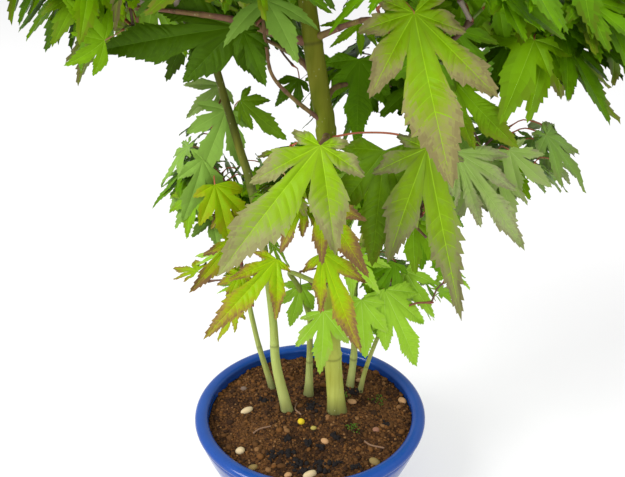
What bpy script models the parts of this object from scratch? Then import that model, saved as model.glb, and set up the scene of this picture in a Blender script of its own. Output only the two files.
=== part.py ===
"""A young Japanese maple grown as a clump bonsai in a round, glazed bowl pot.

Six slender green stems rise from the soil of one pot. The tallest is the trunk, which runs up into
the crown; boughs leave it in turn and each ends where it enters its own mass of foliage.

Lengths in the tables are in centimetres, measured from the middle of the pot's rim: +X to the right,
+Y away from the viewer, +Z up. The finished objects are in metres, with the origin in the middle of
the pot's flat underside.
"""

import math

import bmesh
import bpy
from mathutils import Vector, noise
from mathutils.bvhtree import BVHTree

CM = 0.01

# ---------------------------------------------------------------- pot (cm)
RIM_RADIUS = 7.5
POT_HEIGHT = 6.4
WALL = 0.62
LIP_HALF_WIDTH = 0.425
LIP_HALF_HEIGHT = 0.31
LIP_FROM_DEG = 190
LIP_TO_DEG = -62
LIP_STEPS = 7
WALL_START_DEPTH = 0.78
BOWL_EDGE_RADIUS = 7.53
BOWL_SLOPE = 0.23
BOWL_CURVE = 0.036
BOWL_STEPS = 4
FOOT_RADIUS = 4.85
FOOT_HEIGHT = 0.45
FOOT_CHAMFER = 0.09
FLOOR_THICKNESS = 0.75
FLOOR_ROUNDING = 0.45
POT_SIDES = 36
DRAIN_RADIUS = 0.55
DRAIN_CIRCLE = 2.5
DRAIN_COUNT = 3
DRAIN_SIDES = 16

# --------------------------------------------------------------- soil (cm)
SOIL_DEPTH_BELOW_RIM = 0.7
SOIL_EDGE_CHAMFER = 0.12

# ----------------------------------------------------- fits and facets (cm)
FIT_GAP = 0.035
SEAT_GAP = 0.085
MASS_GAP = 0.35
LIMB_CLEARANCE = 0.15
STEM_SIDES = 10
BOUGH_SIDES = 7
STEM_STEP = 3.0
BOUGH_STEP = 1.5
SHORTEST_STEP = 0.65
FINE_STEP = 0.5

# How a stem thickens at its foot and thins towards its tip: it has its middle radius between two
# shares of its height.
FLARE_HEIGHT = 0.9
FLARE_RING_HEIGHTS = (0.5, 1.3)
EVEN_FROM_SHARE = 0.3
EVEN_TO_SHARE = 0.6

# How a bough thickens where it leaves its stem.
COLLAR_LENGTH = 0.8
COLLAR_SWELL = 0.35
NECK_LENGTH = 0.5
NECK_SHARE = 0.92
NECK_ZONE = 1.0

# How far from a surface the search for a limb's seat starts and ends.
SEAT_FROM_OUTSIDE = 1.6
SEAT_FROM_NEAR = 0.2
SEAT_BACK = 0.8
SEAT_REACH = 8.0
SEAT_MOST_STEP = 2.4
LEAST_END_LENGTH = 0.3

# Stems: points up the middle of the stem, then radii at the foot, halfway and at the end, and the
# swelling of the root flare. "into" is the mass the stem ends in.
STEMS = {
    "main_trunk": {
        "path": [(1.78, 0.42, -0.7), (1.40, 0.42, 4.0), (1.20, 0.42, 9.5), (0.92, 0.42, 18.3),
                 (0.60, 0.42, 20.4), (-0.13, 0.42, 25.5), (-0.50, 0.35, 30.0), (-0.25, 0.30, 38.0)],
        "radii": (0.54, 0.52, 0.27), "flare": 0.13, "into": "foliage_crown_top",
    },
    "left_stem": {
        "path": [(-1.54, 0.42, -0.7), (-2.19, 0.42, 3.0), (-2.31, 0.42, 6.2), (-2.75, 0.7, 11.0),
                 (-3.46, 1.0, 15.2), (-3.96, 1.0, 17.2), (-4.67, 1.0, 20.1), (-5.3, 1.0, 22.4),
                 (-6.9, 1.0, 25.0)],
        "radii": (0.36, 0.25, 0.19), "flare": 0.06, "into": "foliage_left_upper",
    },
    "left_back_stem": {
        "path": [(-2.66, 2.93, -0.7), (-3.40, 2.93, 2.4), (-3.80, 2.93, 4.6), (-4.28, 2.93, 7.6),
                 (-5.0, 3.0, 11.0), (-5.8, 3.0, 15.0)],
        "radii": (0.20, 0.17, 0.14), "flare": 0.04, "into": "foliage_left_mid",
    },
    "centre_stem": {
        "path": [(-0.09, 2.25, -0.7), (-0.02, 2.25, 3.6), (-0.05, 2.1, 5.6), (-0.75, 1.3, 8.2),
                 (-1.15, 0.1, 9.8), (0.9, -2.7, 10.4)],
        "radii": (0.27, 0.20, 0.14), "flare": 0.08, "into": "foliage_centre_low",
    },
    "right_back_stem": {
        "path": [(2.75, 2.93, -0.7), (2.98, 3.0, 2.4), (2.95, 3.6, 7.0), (3.9, 4.3, 11.5),
                 (6.6, 4.4, 14.6), (10.0, 3.2, 15.6)],
        "radii": (0.25, 0.21, 0.15), "flare": 0.06, "into": "foliage_right_mid",
    },
    "right_side_stem": {
        "path": [(3.42, 2.45, -0.7), (3.75, 2.4, 1.2), (4.4, 2.3, 3.6), (5.4, 2.1, 6.6)],
        "radii": (0.16, 0.14, 0.12), "flare": 0.04, "into": "foliage_right_low",
    },
}

# Boughs: the stem each leaves, the height it leaves at, points it passes, its radii at both ends and
# the mass it carries. The way into the mass is worked out.
BOUGHS = {
    "bough_left": ("main_trunk", 23.3, [(-1.9, 0.4, 23.8), (-4.2, 0.1, 24.6)], 0.22, 0.15,
                   "foliage_left_upper"),
    "bough_front_left": ("main_trunk", 18.9, [(-0.95, -0.7, 20.7), (-1.9, -1.9, 22.2)], 0.14, 0.11,
                         "foliage_front_left"),
    "bough_left_low": ("left_stem", 9.4, [(-2.95, -0.9, 10.4)], 0.13, 0.10, "foliage_left_low"),
    "bough_front": ("main_trunk", 18.2, [(0.7, -2.0, 18.7)], 0.17, 0.13, "foliage_front"),
    "bough_front_right_low": ("main_trunk", 16.0, [(2.6, -2.2, 17.2)], 0.16, 0.12,
                              "foliage_front_right_low"),
    "bough_front_right": ("main_trunk", 23.5, [(2.2, -1.2, 24.6), (3.3, -2.9, 25.0)], 0.17, 0.12,
                          "foliage_front_right"),
    "bough_back": ("main_trunk", 19.8, [(1.7, 2.2, 20.6)], 0.17, 0.13, "foliage_back"),
    "bough_back_low": ("right_back_stem", 8.6, [(3.7, 5.2, 9.1)], 0.13, 0.10, "foliage_back_low"),
    "bough_back_left": ("main_trunk", 21.4, [(-1.0, 3.0, 22.2)], 0.18, 0.13, "foliage_back_left"),
    "bough_right": ("main_trunk", 26.6, [(3.2, 0.7, 27.6), (6.6, 0.2, 27.6)], 0.21, 0.14,
                    "foliage_right_upper"),
    "bough_back_right": ("main_trunk", 25.4, [(2.0, 3.4, 27.0)], 0.18, 0.13, "foliage_back_right"),
    "bough_top_left": ("main_trunk", 28.6, [(-3.0, 1.1, 30.3)], 0.19, 0.13, "foliage_top_left"),
    "bough_top_right": ("main_trunk", 29.6, [(2.3, 0.1, 31.0)], 0.19, 0.13, "foliage_top_right"),
    "bough_top_front": ("main_trunk", 30.8, [(-0.2, -1.6, 31.9)], 0.17, 0.12, "foliage_top_front"),
    "bough_top_back": ("main_trunk", 31.8, [(-0.5, 2.4, 32.9)], 0.17, 0.12, "foliage_top_back"),
}

# Masses of foliage: centre and half-sizes.
MASSES = {
    "foliage_left_low": ((-3.4, -4.7, 11.7), (3.5, 2.9, 3.4)),
    "foliage_centre_low": ((0.9, -2.7, 9.6), (2.5, 2.2, 6.0)),
    "foliage_right_low": ((5.3, 1.5, 7.5), (3.4, 3.0, 5.2)),
    "foliage_left_mid": ((-5.9, 2.8, 15.6), (3.5, 3.8, 5.3)),
    "foliage_front": ((-0.7, -7.2, 17.9), (4.9, 3.6, 4.6)),
    "foliage_front_right_low": ((5.3, -6.3, 16.2), (3.3, 3.3, 5.4)),
    "foliage_front_right": ((5.5, -6.2, 24.2), (5.0, 4.4, 5.2)),
    "foliage_right_mid": ((11.0, 2.4, 15.3), (4.8, 4.6, 4.8)),
    "foliage_right_upper": ((11.5, -1.4, 24.4), (4.8, 5.6, 4.6)),
    "foliage_back": ((4.7, 5.6, 20.0), (5.2, 4.4, 4.8)),
    "foliage_back_low": ((4.6, 8.2, 11.2), (4.0, 3.8, 4.4)),
    "foliage_left_upper": ((-9.4, 0.9, 25.4), (5.6, 5.8, 3.9)),
    "foliage_front_left": ((-3.4, -5.0, 27.0), (5.2, 4.8, 4.3)),
    "foliage_back_left": ((-4.5, 8.2, 22.8), (5.4, 4.8, 4.9)),
    "foliage_back_right": ((5.8, 8.6, 27.6), (6.0, 5.0, 4.8)),
    "foliage_top_left": ((-7.8, 2.2, 32.2), (5.8, 6.0, 4.2)),
    "foliage_top_right": ((7.8, -0.4, 31.8), (6.0, 6.0, 4.2)),
    "foliage_top_front": ((0.0, -5.9, 33.4), (6.0, 5.0, 4.2)),
    "foliage_top_back": ((-0.6, 7.0, 33.4), (6.0, 5.2, 4.2)),
    "foliage_crown_top": ((-0.2, 0.3, 38.4), (6.2, 5.8, 4.0)),
}
MASS_POINTS = 132
MASS_SEED = (7.3, 3.1, 5.7)
LUMP_SIZE = 0.34
LUMP_FREQUENCY = 1.5
TIP_SIZE = 0.26
TIP_FREQUENCY = 4.3
BLEND_POWER = 9
LEAST_FACING = 0.05
LEAST_ROOM = 0.8

# Angles over which an edge is shaded sharp, in degrees.
POT_SHARP = 50
SOIL_SHARP = 30
LIMB_SHARP = 40
MASS_SHARP = 60

# Finishes: colour, roughness, metallic.
FINISHES = {
    "pot_glaze": ((0.012, 0.075, 0.36), 0.12, 0.0),
    "potting_soil": ((0.065, 0.030, 0.014), 0.95, 0.0),
    "green_bark": ((0.20, 0.26, 0.07), 0.60, 0.0),
    "brown_bark": ((0.19, 0.10, 0.07), 0.65, 0.0),
    "foliage": ((0.13, 0.34, 0.02), 0.55, 0.0),
}


# ----------------------------------------------------------- scene and meshes
def clear_scene():
    for obj in list(bpy.data.objects):
        bpy.data.objects.remove(obj, do_unlink=True)


def make_material(name):
    colour, roughness, metallic = FINISHES[name]
    material = bpy.data.materials.new(name)
    material.use_nodes = True
    shader = material.node_tree.nodes["Principled BSDF"]
    shader.inputs["Base Color"].default_value = (*colour, 1.0)
    shader.inputs["Roughness"].default_value = roughness
    shader.inputs["Metallic"].default_value = metallic
    material.diffuse_color = (*colour, 1.0)
    return material


def world(point):
    """A table point, in centimetres from the rim, as metres from the underside of the pot."""
    x, y, z = point
    return Vector((x, y, z + POT_HEIGHT)) * CM


def in_metres(rings):
    return [[world(point) for point in ring] for ring in rings]


def add_object(name, bm, material, sharp_deg):
    bmesh.ops.recalc_face_normals(bm, faces=bm.faces)
    mesh = bpy.data.meshes.new(name)
    bm.to_mesh(mesh)
    bm.free()
    mesh.shade_smooth()
    mesh.set_sharp_from_angle(angle=math.radians(sharp_deg))
    mesh.materials.append(material)
    obj = bpy.data.objects.new(name, mesh)
    bpy.context.scene.collection.objects.link(obj)
    return obj


def loft(rings):
    """A closed skin through the rings; a ring of one point is a pole, and other end rings are capped."""
    bm = bmesh.new()
    loops = [[bm.verts.new(point) for point in ring] for ring in rings]
    for lower, upper in zip(loops, loops[1:]):
        count = max(len(lower), len(upper))
        for i in range(count):
            j = (i + 1) % count
            corners = [lower[i % len(lower)], lower[j % len(lower)],
                       upper[j % len(upper)], upper[i % len(upper)]]
            bm.faces.new(list(dict.fromkeys(corners)))
    for end in (loops[0], loops[-1]):
        if len(end) > 1:
            bm.faces.new(end)
    return bm


def turned(profile, sides):
    """Rings for a profile of (radius, height) turned about the pot's axis."""
    rings = []
    for radius, height in profile:
        if radius == 0:
            rings.append([world((0, 0, height))])
            continue
        angles = (2 * math.pi * i / sides for i in range(sides))
        rings.append([world((radius * math.cos(a), radius * math.sin(a), height)) for a in angles])
    return rings


# ------------------------------------------------------------------------ pot
def bowl_radius(depth):
    """Outer radius of the bowl at a depth below the rim."""
    return BOWL_EDGE_RADIUS - BOWL_SLOPE * depth - BOWL_CURVE * depth**2


def lip_profile():
    centre = RIM_RADIUS - LIP_HALF_WIDTH
    points = []
    for step in range(LIP_STEPS + 1):
        angle = math.radians(LIP_FROM_DEG + (LIP_TO_DEG - LIP_FROM_DEG) * step / LIP_STEPS)
        radius = centre + LIP_HALF_WIDTH * math.cos(angle)
        points.append((radius, LIP_HALF_HEIGHT * (math.sin(angle) - 1)))
    return points


def wall_depths(last):
    return [WALL_START_DEPTH + (last - WALL_START_DEPTH) * i / BOWL_STEPS for i in range(BOWL_STEPS + 1)]


def inner_profile():
    """The inside of the pot from the edge of its floor up to just under the lip."""
    floor_depth = POT_HEIGHT - FLOOR_THICKNESS
    points = [(bowl_radius(floor_depth) - WALL - FLOOR_ROUNDING, -floor_depth)]
    for depth in reversed(wall_depths(floor_depth - FLOOR_ROUNDING)):
        points.append((bowl_radius(depth) - WALL, -depth))
    return points


def make_pot(material):
    foot_top = POT_HEIGHT - FOOT_HEIGHT
    profile = [(0, FLOOR_THICKNESS - POT_HEIGHT)]
    profile += inner_profile()
    profile += lip_profile()
    profile += [(bowl_radius(depth), -depth) for depth in wall_depths(foot_top - FOOT_CHAMFER)]
    profile += [(FOOT_RADIUS, -foot_top), (FOOT_RADIUS, FOOT_CHAMFER - POT_HEIGHT)]
    profile += [(FOOT_RADIUS - FOOT_CHAMFER, -POT_HEIGHT), (0, -POT_HEIGHT)]
    pot = add_object("pot", loft(turned(profile, POT_SIDES)), material, POT_SHARP)
    for index in range(DRAIN_COUNT):
        cut_drain_hole(pot, index)
    return pot


def cut_drain_hole(pot, index):
    turn = 2 * math.pi * (index + 0.25) / DRAIN_COUNT
    bm = bmesh.new()
    bmesh.ops.create_cone(bm, cap_ends=True, segments=DRAIN_SIDES, radius1=DRAIN_RADIUS * CM,
                          radius2=DRAIN_RADIUS * CM, depth=4 * FLOOR_THICKNESS * CM)
    cutter = add_object(f"drain_cutter_{index + 1}", bm, pot.data.materials[0], POT_SHARP)
    cutter.location = (DRAIN_CIRCLE * CM * math.cos(turn), DRAIN_CIRCLE * CM * math.sin(turn), 0)
    cutter.hide_render = True
    cutter.display_type = "WIRE"
    cut = pot.modifiers.new(f"drain_{index + 1}", "BOOLEAN")
    cut.operation = "DIFFERENCE"
    cut.object = cutter


def make_soil(material):
    """The root ball's soil, flat on top, filling the pot with a hair of clearance."""
    floor_radius, floor_height = inner_profile()[0]
    profile = [(0, floor_height + FIT_GAP), (floor_radius - FIT_GAP, floor_height + FIT_GAP)]
    soil_top = -SOIL_DEPTH_BELOW_RIM
    chamfer_start = soil_top - SOIL_EDGE_CHAMFER
    for radius, height in inner_profile()[1:]:
        if height < chamfer_start - SOIL_EDGE_CHAMFER:
            profile.append((radius - FIT_GAP, height + FIT_GAP))
    edge = bowl_radius(-chamfer_start) - WALL - 2 * FIT_GAP
    profile += [(edge, chamfer_start), (edge - SOIL_EDGE_CHAMFER, soil_top), (0, soil_top)]
    return add_object("soil", loft(turned(profile, POT_SIDES)), material, SOIL_SHARP)


# ---------------------------------------------------------------------- limbs
def smooth_path(points, step):
    """Points about a step apart on a smooth curve through the given ones, ends included."""
    points = [Vector(p) for p in points]
    padded = [2 * points[0] - points[1], *points, 2 * points[-1] - points[-2]]
    curve = []
    for i in range(1, len(padded) - 2):
        before, start, end, after = padded[i - 1:i + 3]
        pieces = max(1, round((end - start).length / step))
        for k in range(pieces):
            t = k / pieces
            curve.append(0.5 * (2 * start + (end - before) * t
                                + (2 * before - 5 * start + 4 * end - after) * t**2
                                + (3 * start - before - 3 * end + after) * t**3))
    curve.append(points[-1])
    return curve


def across(direction):
    """Two directions square to the given one and to each other."""
    helper = Vector((0, 1, 0)) if abs(direction.y) < 0.9 else Vector((1, 0, 0))
    first = direction.cross(helper).normalized()
    return first, direction.cross(first).normalized()


def circle(centre, direction, radius, sides):
    first, second = across(direction)
    angles = (2 * math.pi * i / sides for i in range(sides))
    return [centre + radius * (math.cos(a) * first + math.sin(a) * second) for a in angles]


def limb_rings(path, radii, sides, flat_start=False):
    rings = []
    for i, centre in enumerate(path):
        ahead = path[min(i + 1, len(path) - 1)]
        behind = path[max(i - 1, 0)]
        direction = (ahead - behind).normalized()
        if flat_start and i == 0:
            direction = Vector((0, 0, 1))
        rings.append(circle(centre, direction, radii[i], sides))
    return rings


def stem_radius(spec, height):
    """Radius at a height above the soil: even taper in two stretches, with the root flare on top."""
    foot, middle, tip = spec["radii"]
    rise = spec["path"][-1][2] + SOIL_DEPTH_BELOW_RIM
    share = min(1.0, height / rise)
    if share < EVEN_TO_SHARE:
        radius = foot + (middle - foot) * min(1.0, share / EVEN_FROM_SHARE)
    else:
        radius = middle + (tip - middle) * (share - EVEN_TO_SHARE) / (1 - EVEN_TO_SHARE)
    return radius + spec["flare"] * math.exp(-height / FLARE_HEIGHT)


def stem_path(spec):
    """The stem's middle line, with extra points in the root flare, starting just above the soil."""
    path = smooth_path(spec["path"], STEM_STEP)
    foot = path[0] + Vector((0, 0, FIT_GAP))
    direction = (path[1] - path[0]).normalized()
    return [foot, *(foot + direction * height for height in FLARE_RING_HEIGHTS), *path[1:]]


def point_at_height(path, height):
    for low, high in zip(path, path[1:]):
        if low.z <= height <= high.z:
            return low.lerp(high, (height - low.z) / (high.z - low.z))
    raise ValueError(f"the stem doesn't reach {height}")


def bough_path(spec, step=BOUGH_STEP):
    stem, height, passes, _, _, mass = spec
    start = point_at_height(stem_path(STEMS[stem]), height)
    return smooth_path([start, *passes, MASSES[mass][0]], step)


def surface_of(rings):
    """A search tree of the closed skin through the rings."""
    bm = loft(rings)
    tree = BVHTree.FromBMesh(bm)
    bm.free()
    return tree


def cast(tree, start, direction, reach):
    hit = tree.ray_cast(world(start), direction, reach * CM)[0]
    return None if hit is None else (hit - world(start)).length / CM


def cut_at_mass(path, tree):
    """The path up to where it enters the mass, and the point of entry."""
    for i in range(1, len(path)):
        step = path[i] - path[i - 1]
        reached = cast(tree, path[i - 1], step.normalized(), step.length)
        if reached is not None:
            entry = path[i - 1] + step.normalized() * reached
            kept = path[:i]
            while len(kept) > 1 and (entry - kept[-1]).length < SHORTEST_STEP:
                kept.pop()
            return kept, entry
    raise ValueError("the limb never enters its mass")


def seat_ring(ring, centre, direction, tree):
    """The ring, each point slid along the direction until it is the seat gap short of the surface."""
    back = direction * SEAT_BACK
    middle = cast(tree, centre - back, direction, SEAT_REACH)
    seated = []
    for point in ring:
        reach = cast(tree, point - back, direction, SEAT_REACH)
        if reach is None or abs(reach - middle) > SEAT_MOST_STEP:
            reach = middle
        seated.append(point + direction * (reach - SEAT_BACK - SEAT_GAP))
    return seated, centre + direction * (middle - SEAT_BACK - SEAT_GAP)


def end_at_mass(path, radii, sides, tree, flat_start=False):
    """Rings for a limb whose last ring lies on the mass's surface."""
    kept, entry = cut_at_mass(path, tree)
    kept = [*kept, entry]
    rings = limb_rings(kept, radii[:len(kept)], sides, flat_start)
    direction = (kept[-1] - kept[-2]).normalized()
    near = entry - direction * SEAT_FROM_NEAR
    last = circle(near, direction, radii[len(kept) - 1], sides)
    seated, tip = seat_ring(last, near, direction, tree)
    least = kept[-2] + direction * LEAST_END_LENGTH
    assert all((point - least).dot(direction) > 0 for point in seated), "a limb's end folds back"
    rings[-1] = seated
    return rings, tip


def make_stem(name, spec, tree, material):
    path = stem_path(spec)
    radii = [stem_radius(spec, point.z + SOIL_DEPTH_BELOW_RIM) for point in path]
    rings, tip = end_at_mass(path, radii, STEM_SIDES, tree, flat_start=True)
    rings.append([tip])
    add_object(name, loft(in_metres(rings)), material, LIMB_SHARP)
    return rings


def bough_radii(spec, path):
    """Even taper from the stem to the mass, with the collar's swelling at the stem."""
    _, _, _, start_radius, end_radius, _ = spec
    travelled = [0.0]
    for start, end in zip(path, path[1:]):
        travelled.append(travelled[-1] + (end - start).length)
    radii = []
    for distance in travelled:
        collar = 1 + COLLAR_SWELL * math.exp(-distance / COLLAR_LENGTH)
        share = distance / travelled[-1]
        radii.append((start_radius + (end_radius - start_radius) * share) * collar)
    return radii


def make_bough(name, spec, stem_tree, mass_tree, material):
    path = bough_path(spec)
    radii = bough_radii(spec, path)
    rings, tip = end_at_mass(path, radii, BOUGH_SIDES, mass_tree)
    out = (path[1] - path[0]).normalized()
    clear = path[0] + out * SEAT_FROM_OUTSIDE
    collar, seat = seat_ring(circle(clear, out, radii[0], BOUGH_SIDES), clear, -out, stem_tree)
    neck = circle(seat + out * (NECK_LENGTH + radii[0]), out, radii[0] * NECK_SHARE, BOUGH_SIDES)
    middles = [sum(ring, Vector()) / len(ring) for ring in rings]
    beyond = [ring for ring, middle in zip(rings, middles) if (middle - seat).dot(out) > NECK_ZONE]
    add_object(name, loft(in_metres([[seat], collar, neck, *beyond, [tip]])), material, LIMB_SHARP)


# --------------------------------------------------------------------- masses
def ellipsoid_reach(half_sizes, direction):
    return 1 / math.sqrt(sum((d / h) ** 2 for d, h in zip(direction, half_sizes)))


def neighbour_planes(name):
    """(normal, distance) of a plane between this mass and each of the others."""
    centre, sizes = MASSES[name]
    planes = []
    for other, (other_centre, other_sizes) in MASSES.items():
        if other == name:
            continue
        offset = Vector(other_centre) - Vector(centre)
        normal = offset.normalized()
        own, theirs = ellipsoid_reach(sizes, normal), ellipsoid_reach(other_sizes, normal)
        planes.append((normal, offset.length * own / (own + theirs) - MASS_GAP / 2))
    return planes


def limb_planes(name, limbs):
    """Planes that keep this mass clear of the limbs that it doesn't hang on, the nearest point first."""
    centre, sizes = Vector(MASSES[name][0]), MASSES[name][1]
    reach = max(sizes) * (1 + LUMP_SIZE + TIP_SIZE)
    near = [(point - centre, radius + LIMB_CLEARANCE)
            for path, radii, mass in limbs if mass != name
            for point, radius in zip(path, radii) if (point - centre).length < reach + radius]
    planes = []
    while near:
        offset, radius = min(near, key=lambda pair: pair[0].length - pair[1])
        normal = offset.normalized()
        limit = offset.length - radius
        planes.append((normal, limit))
        near = [pair for pair in near if pair[0].dot(normal) - pair[1] < limit - 1e-6]
    return planes


def sphere_points(count):
    """Directions spread evenly over a sphere, along a spiral from pole to pole."""
    golden_turn = math.pi * (3 - math.sqrt(5))
    directions = []
    for i in range(count):
        height = 1 - 2 * (i + 0.5) / count
        radius = math.sqrt(1 - height**2)
        turn = golden_turn * i
        directions.append(Vector((radius * math.cos(turn), radius * math.sin(turn), height)))
    return directions


def mass_reach(name, direction, offset, planes):
    """How far the mass reaches in a direction: a lumpy ellipsoid, rounded off at each plane."""
    lump = LUMP_SIZE * noise.noise(direction * LUMP_FREQUENCY + offset)
    tips = TIP_SIZE * noise.noise(direction * TIP_FREQUENCY - offset)
    reaches = [ellipsoid_reach(MASSES[name][1], direction) * (1 + lump + tips)]
    for normal, distance in planes:
        facing = normal.dot(direction)
        if facing > LEAST_FACING:
            reaches.append(distance / facing)
    return sum(reach ** -BLEND_POWER for reach in reaches) ** (-1 / BLEND_POWER)


def make_mass(name, index, limbs, material):
    planes = neighbour_planes(name) + limb_planes(name, limbs)
    room = min(distance for _, distance in planes)
    assert room > LEAST_ROOM, f"{name} has no room: {room:.2f}"
    bm = bmesh.new()
    for direction in sphere_points(MASS_POINTS):
        bm.verts.new(direction)
    bmesh.ops.convex_hull(bm, input=bm.verts)
    centre = Vector(MASSES[name][0])
    offset = Vector(MASS_SEED) * (index + 1)
    for vert in bm.verts:
        direction = vert.co.normalized()
        vert.co = world(centre + direction * mass_reach(name, direction, offset, planes))
    tree = BVHTree.FromBMesh(bm)
    add_object(name, bm, material, MASS_SHARP)
    return tree


# ---------------------------------------------------------------------- whole
def all_limbs():
    """(path, radii, mass) of every stem and bough, for keeping the masses clear of them."""
    limbs = []
    for spec in STEMS.values():
        path = smooth_path(spec["path"], FINE_STEP)
        radii = [stem_radius(spec, point.z + SOIL_DEPTH_BELOW_RIM) for point in path]
        limbs.append((path, radii, spec["into"]))
    for spec in BOUGHS.values():
        path = bough_path(spec, FINE_STEP)
        limbs.append((path, [spec[3]] * len(path), spec[5]))
    return limbs


def main():
    clear_scene()
    finishes = {name: make_material(name) for name in FINISHES}
    make_pot(finishes["pot_glaze"])
    make_soil(finishes["potting_soil"])
    limbs = all_limbs()
    trees = {}
    for index, name in enumerate(MASSES):
        trees[name] = make_mass(name, index, limbs, finishes["foliage"])
    stem_trees = {}
    for name, spec in STEMS.items():
        rings = make_stem(name, spec, trees[spec["into"]], finishes["green_bark"])
        stem_trees[name] = surface_of(in_metres(rings))
    for name, spec in BOUGHS.items():
        make_bough(name, spec, stem_trees[spec[0]], trees[spec[5]], finishes["brown_bark"])


main()
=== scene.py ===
"""The looks of a young Japanese maple clump in a round, blue-glazed bowl pot.

Tables are in centimetres, measured from the middle of the pot's rim: +X right, +Y away, +Z up.
Each mass of foliage is replaced by twigs, leaf stalks and leaves that grow on from the limb that
carries it, by a seeded rule that keeps the photograph's open sky, limbs and front leaves free.
"""

import math

import bmesh
import bpy
import numpy as np
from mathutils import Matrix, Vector
from mathutils.bvhtree import BVHTree

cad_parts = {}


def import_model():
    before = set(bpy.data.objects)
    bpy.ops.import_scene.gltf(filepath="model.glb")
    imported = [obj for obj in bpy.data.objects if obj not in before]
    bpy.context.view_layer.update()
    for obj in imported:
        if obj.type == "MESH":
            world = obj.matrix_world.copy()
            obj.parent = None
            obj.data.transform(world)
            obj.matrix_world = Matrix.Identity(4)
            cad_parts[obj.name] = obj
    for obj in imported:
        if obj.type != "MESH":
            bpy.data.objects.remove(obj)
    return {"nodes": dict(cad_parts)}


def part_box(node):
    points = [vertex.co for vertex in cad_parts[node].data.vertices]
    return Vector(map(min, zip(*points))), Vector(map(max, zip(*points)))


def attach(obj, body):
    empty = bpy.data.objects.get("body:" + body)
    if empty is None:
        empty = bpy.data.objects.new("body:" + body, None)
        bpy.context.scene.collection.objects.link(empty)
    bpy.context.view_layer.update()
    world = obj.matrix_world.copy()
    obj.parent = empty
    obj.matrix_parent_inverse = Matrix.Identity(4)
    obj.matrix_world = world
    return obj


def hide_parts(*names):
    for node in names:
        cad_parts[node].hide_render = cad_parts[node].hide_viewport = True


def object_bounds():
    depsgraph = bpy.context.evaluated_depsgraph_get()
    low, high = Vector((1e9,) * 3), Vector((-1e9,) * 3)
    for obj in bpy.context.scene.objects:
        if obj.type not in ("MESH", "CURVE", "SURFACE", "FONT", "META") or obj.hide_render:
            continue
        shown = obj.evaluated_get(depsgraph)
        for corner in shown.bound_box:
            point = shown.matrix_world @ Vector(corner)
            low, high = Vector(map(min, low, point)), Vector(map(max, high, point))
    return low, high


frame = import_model()
CAD_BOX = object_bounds()

CM = 0.01
SEED = 20
BODY = "root"

# ------------------------------------------------------------------ the pot (cm)
RIM_RADIUS = 7.5
POT_HEIGHT = 6.4
WALL = 0.62
LIP_HALF_WIDTH, LIP_HALF_HEIGHT = 0.425, 0.31
BOWL_EDGE_RADIUS = 7.53
BOWL_SLOPE, BOWL_CURVE = 0.23, 0.036
FOOT_RADIUS, FOOT_HEIGHT = 4.85, 0.45
FLOOR_THICKNESS = 0.75
DRAIN_RADIUS, DRAIN_CIRCLE, DRAINS = 0.55, 2.5, 3
SOIL_DEPTH = 0.7

# ------------------------------------------------------------- the camera (cm)
CAMERA_AT = (0.15, -39.6, 31.0)
CAMERA_PITCH_DEG = 25.5
CAMERA_LENS_MM, SENSOR_MM = 43.2, 36

# -------------------------------------------------------------------- the limbs
# Points up the middle, radii at the foot, halfway and at the end, root flare, and the heights of the
# rings left by old pairs of leaves.
STEMS = {
    "main_trunk": dict(
        path=[(1.78, 0.42, -0.7), (1.40, 0.42, 4.0), (1.20, 0.42, 9.5), (0.92, 0.42, 18.3),
              (0.60, 0.42, 20.4), (-0.13, 0.42, 25.5), (-0.50, 0.35, 30.0), (-0.25, 0.30, 38.0)],
        radii=(0.54, 0.52, 0.27), flare=0.13, rings=(3.55, 9.4, 14.6, 18.35, 23.3, 27.6, 31.2, 34.4)),
    "left_stem": dict(
        path=[(-1.54, 0.42, -0.7), (-2.19, 0.42, 3.0), (-2.31, 0.42, 6.2), (-2.75, 0.7, 11.0),
              (-3.46, 1.0, 15.2), (-3.96, 1.0, 17.2), (-4.67, 1.0, 20.1), (-5.3, 1.0, 22.4),
              (-6.9, 1.0, 25.0)],
        radii=(0.36, 0.25, 0.19), flare=0.06, rings=(4.4, 9.5, 15.0, 21.9)),
    "left_back_stem": dict(
        path=[(-2.66, 2.93, -0.7), (-3.40, 2.93, 2.4), (-3.80, 2.93, 4.6), (-4.28, 2.93, 7.6),
              (-5.0, 3.0, 11.0), (-5.8, 3.0, 15.0)],
        radii=(0.20, 0.17, 0.14), flare=0.04, rings=(2.6, 7.4)),
    "centre_stem": dict(
        path=[(-0.09, 2.25, -0.7), (-0.02, 2.25, 3.6), (-0.05, 2.1, 5.6), (-0.75, 1.3, 8.2),
              (-1.15, 0.1, 9.8), (0.9, -2.7, 10.4)],
        radii=(0.27, 0.20, 0.14), flare=0.08, rings=(1.9, 5.4)),
    "right_back_stem": dict(
        path=[(2.75, 2.93, -0.7), (2.98, 3.0, 2.4), (2.95, 3.6, 7.0), (3.9, 4.3, 11.5),
              (6.6, 4.4, 14.6), (10.0, 3.2, 15.6)],
        radii=(0.25, 0.21, 0.15), flare=0.06, rings=(1.6, 6.2, 11.4)),
    "right_side_stem": dict(
        path=[(3.42, 2.45, -0.7), (3.75, 2.4, 1.2), (4.4, 2.3, 3.6), (5.4, 2.1, 6.6)],
        radii=(0.16, 0.14, 0.12), flare=0.04, rings=(1.4,)),
}
EVEN_FROM_SHARE, EVEN_TO_SHARE = 0.3, 0.6
FLARE_HEIGHT = 0.9
STEM_STEP, UNDER_SOIL_STEPS = 0.13, 2.2

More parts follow.
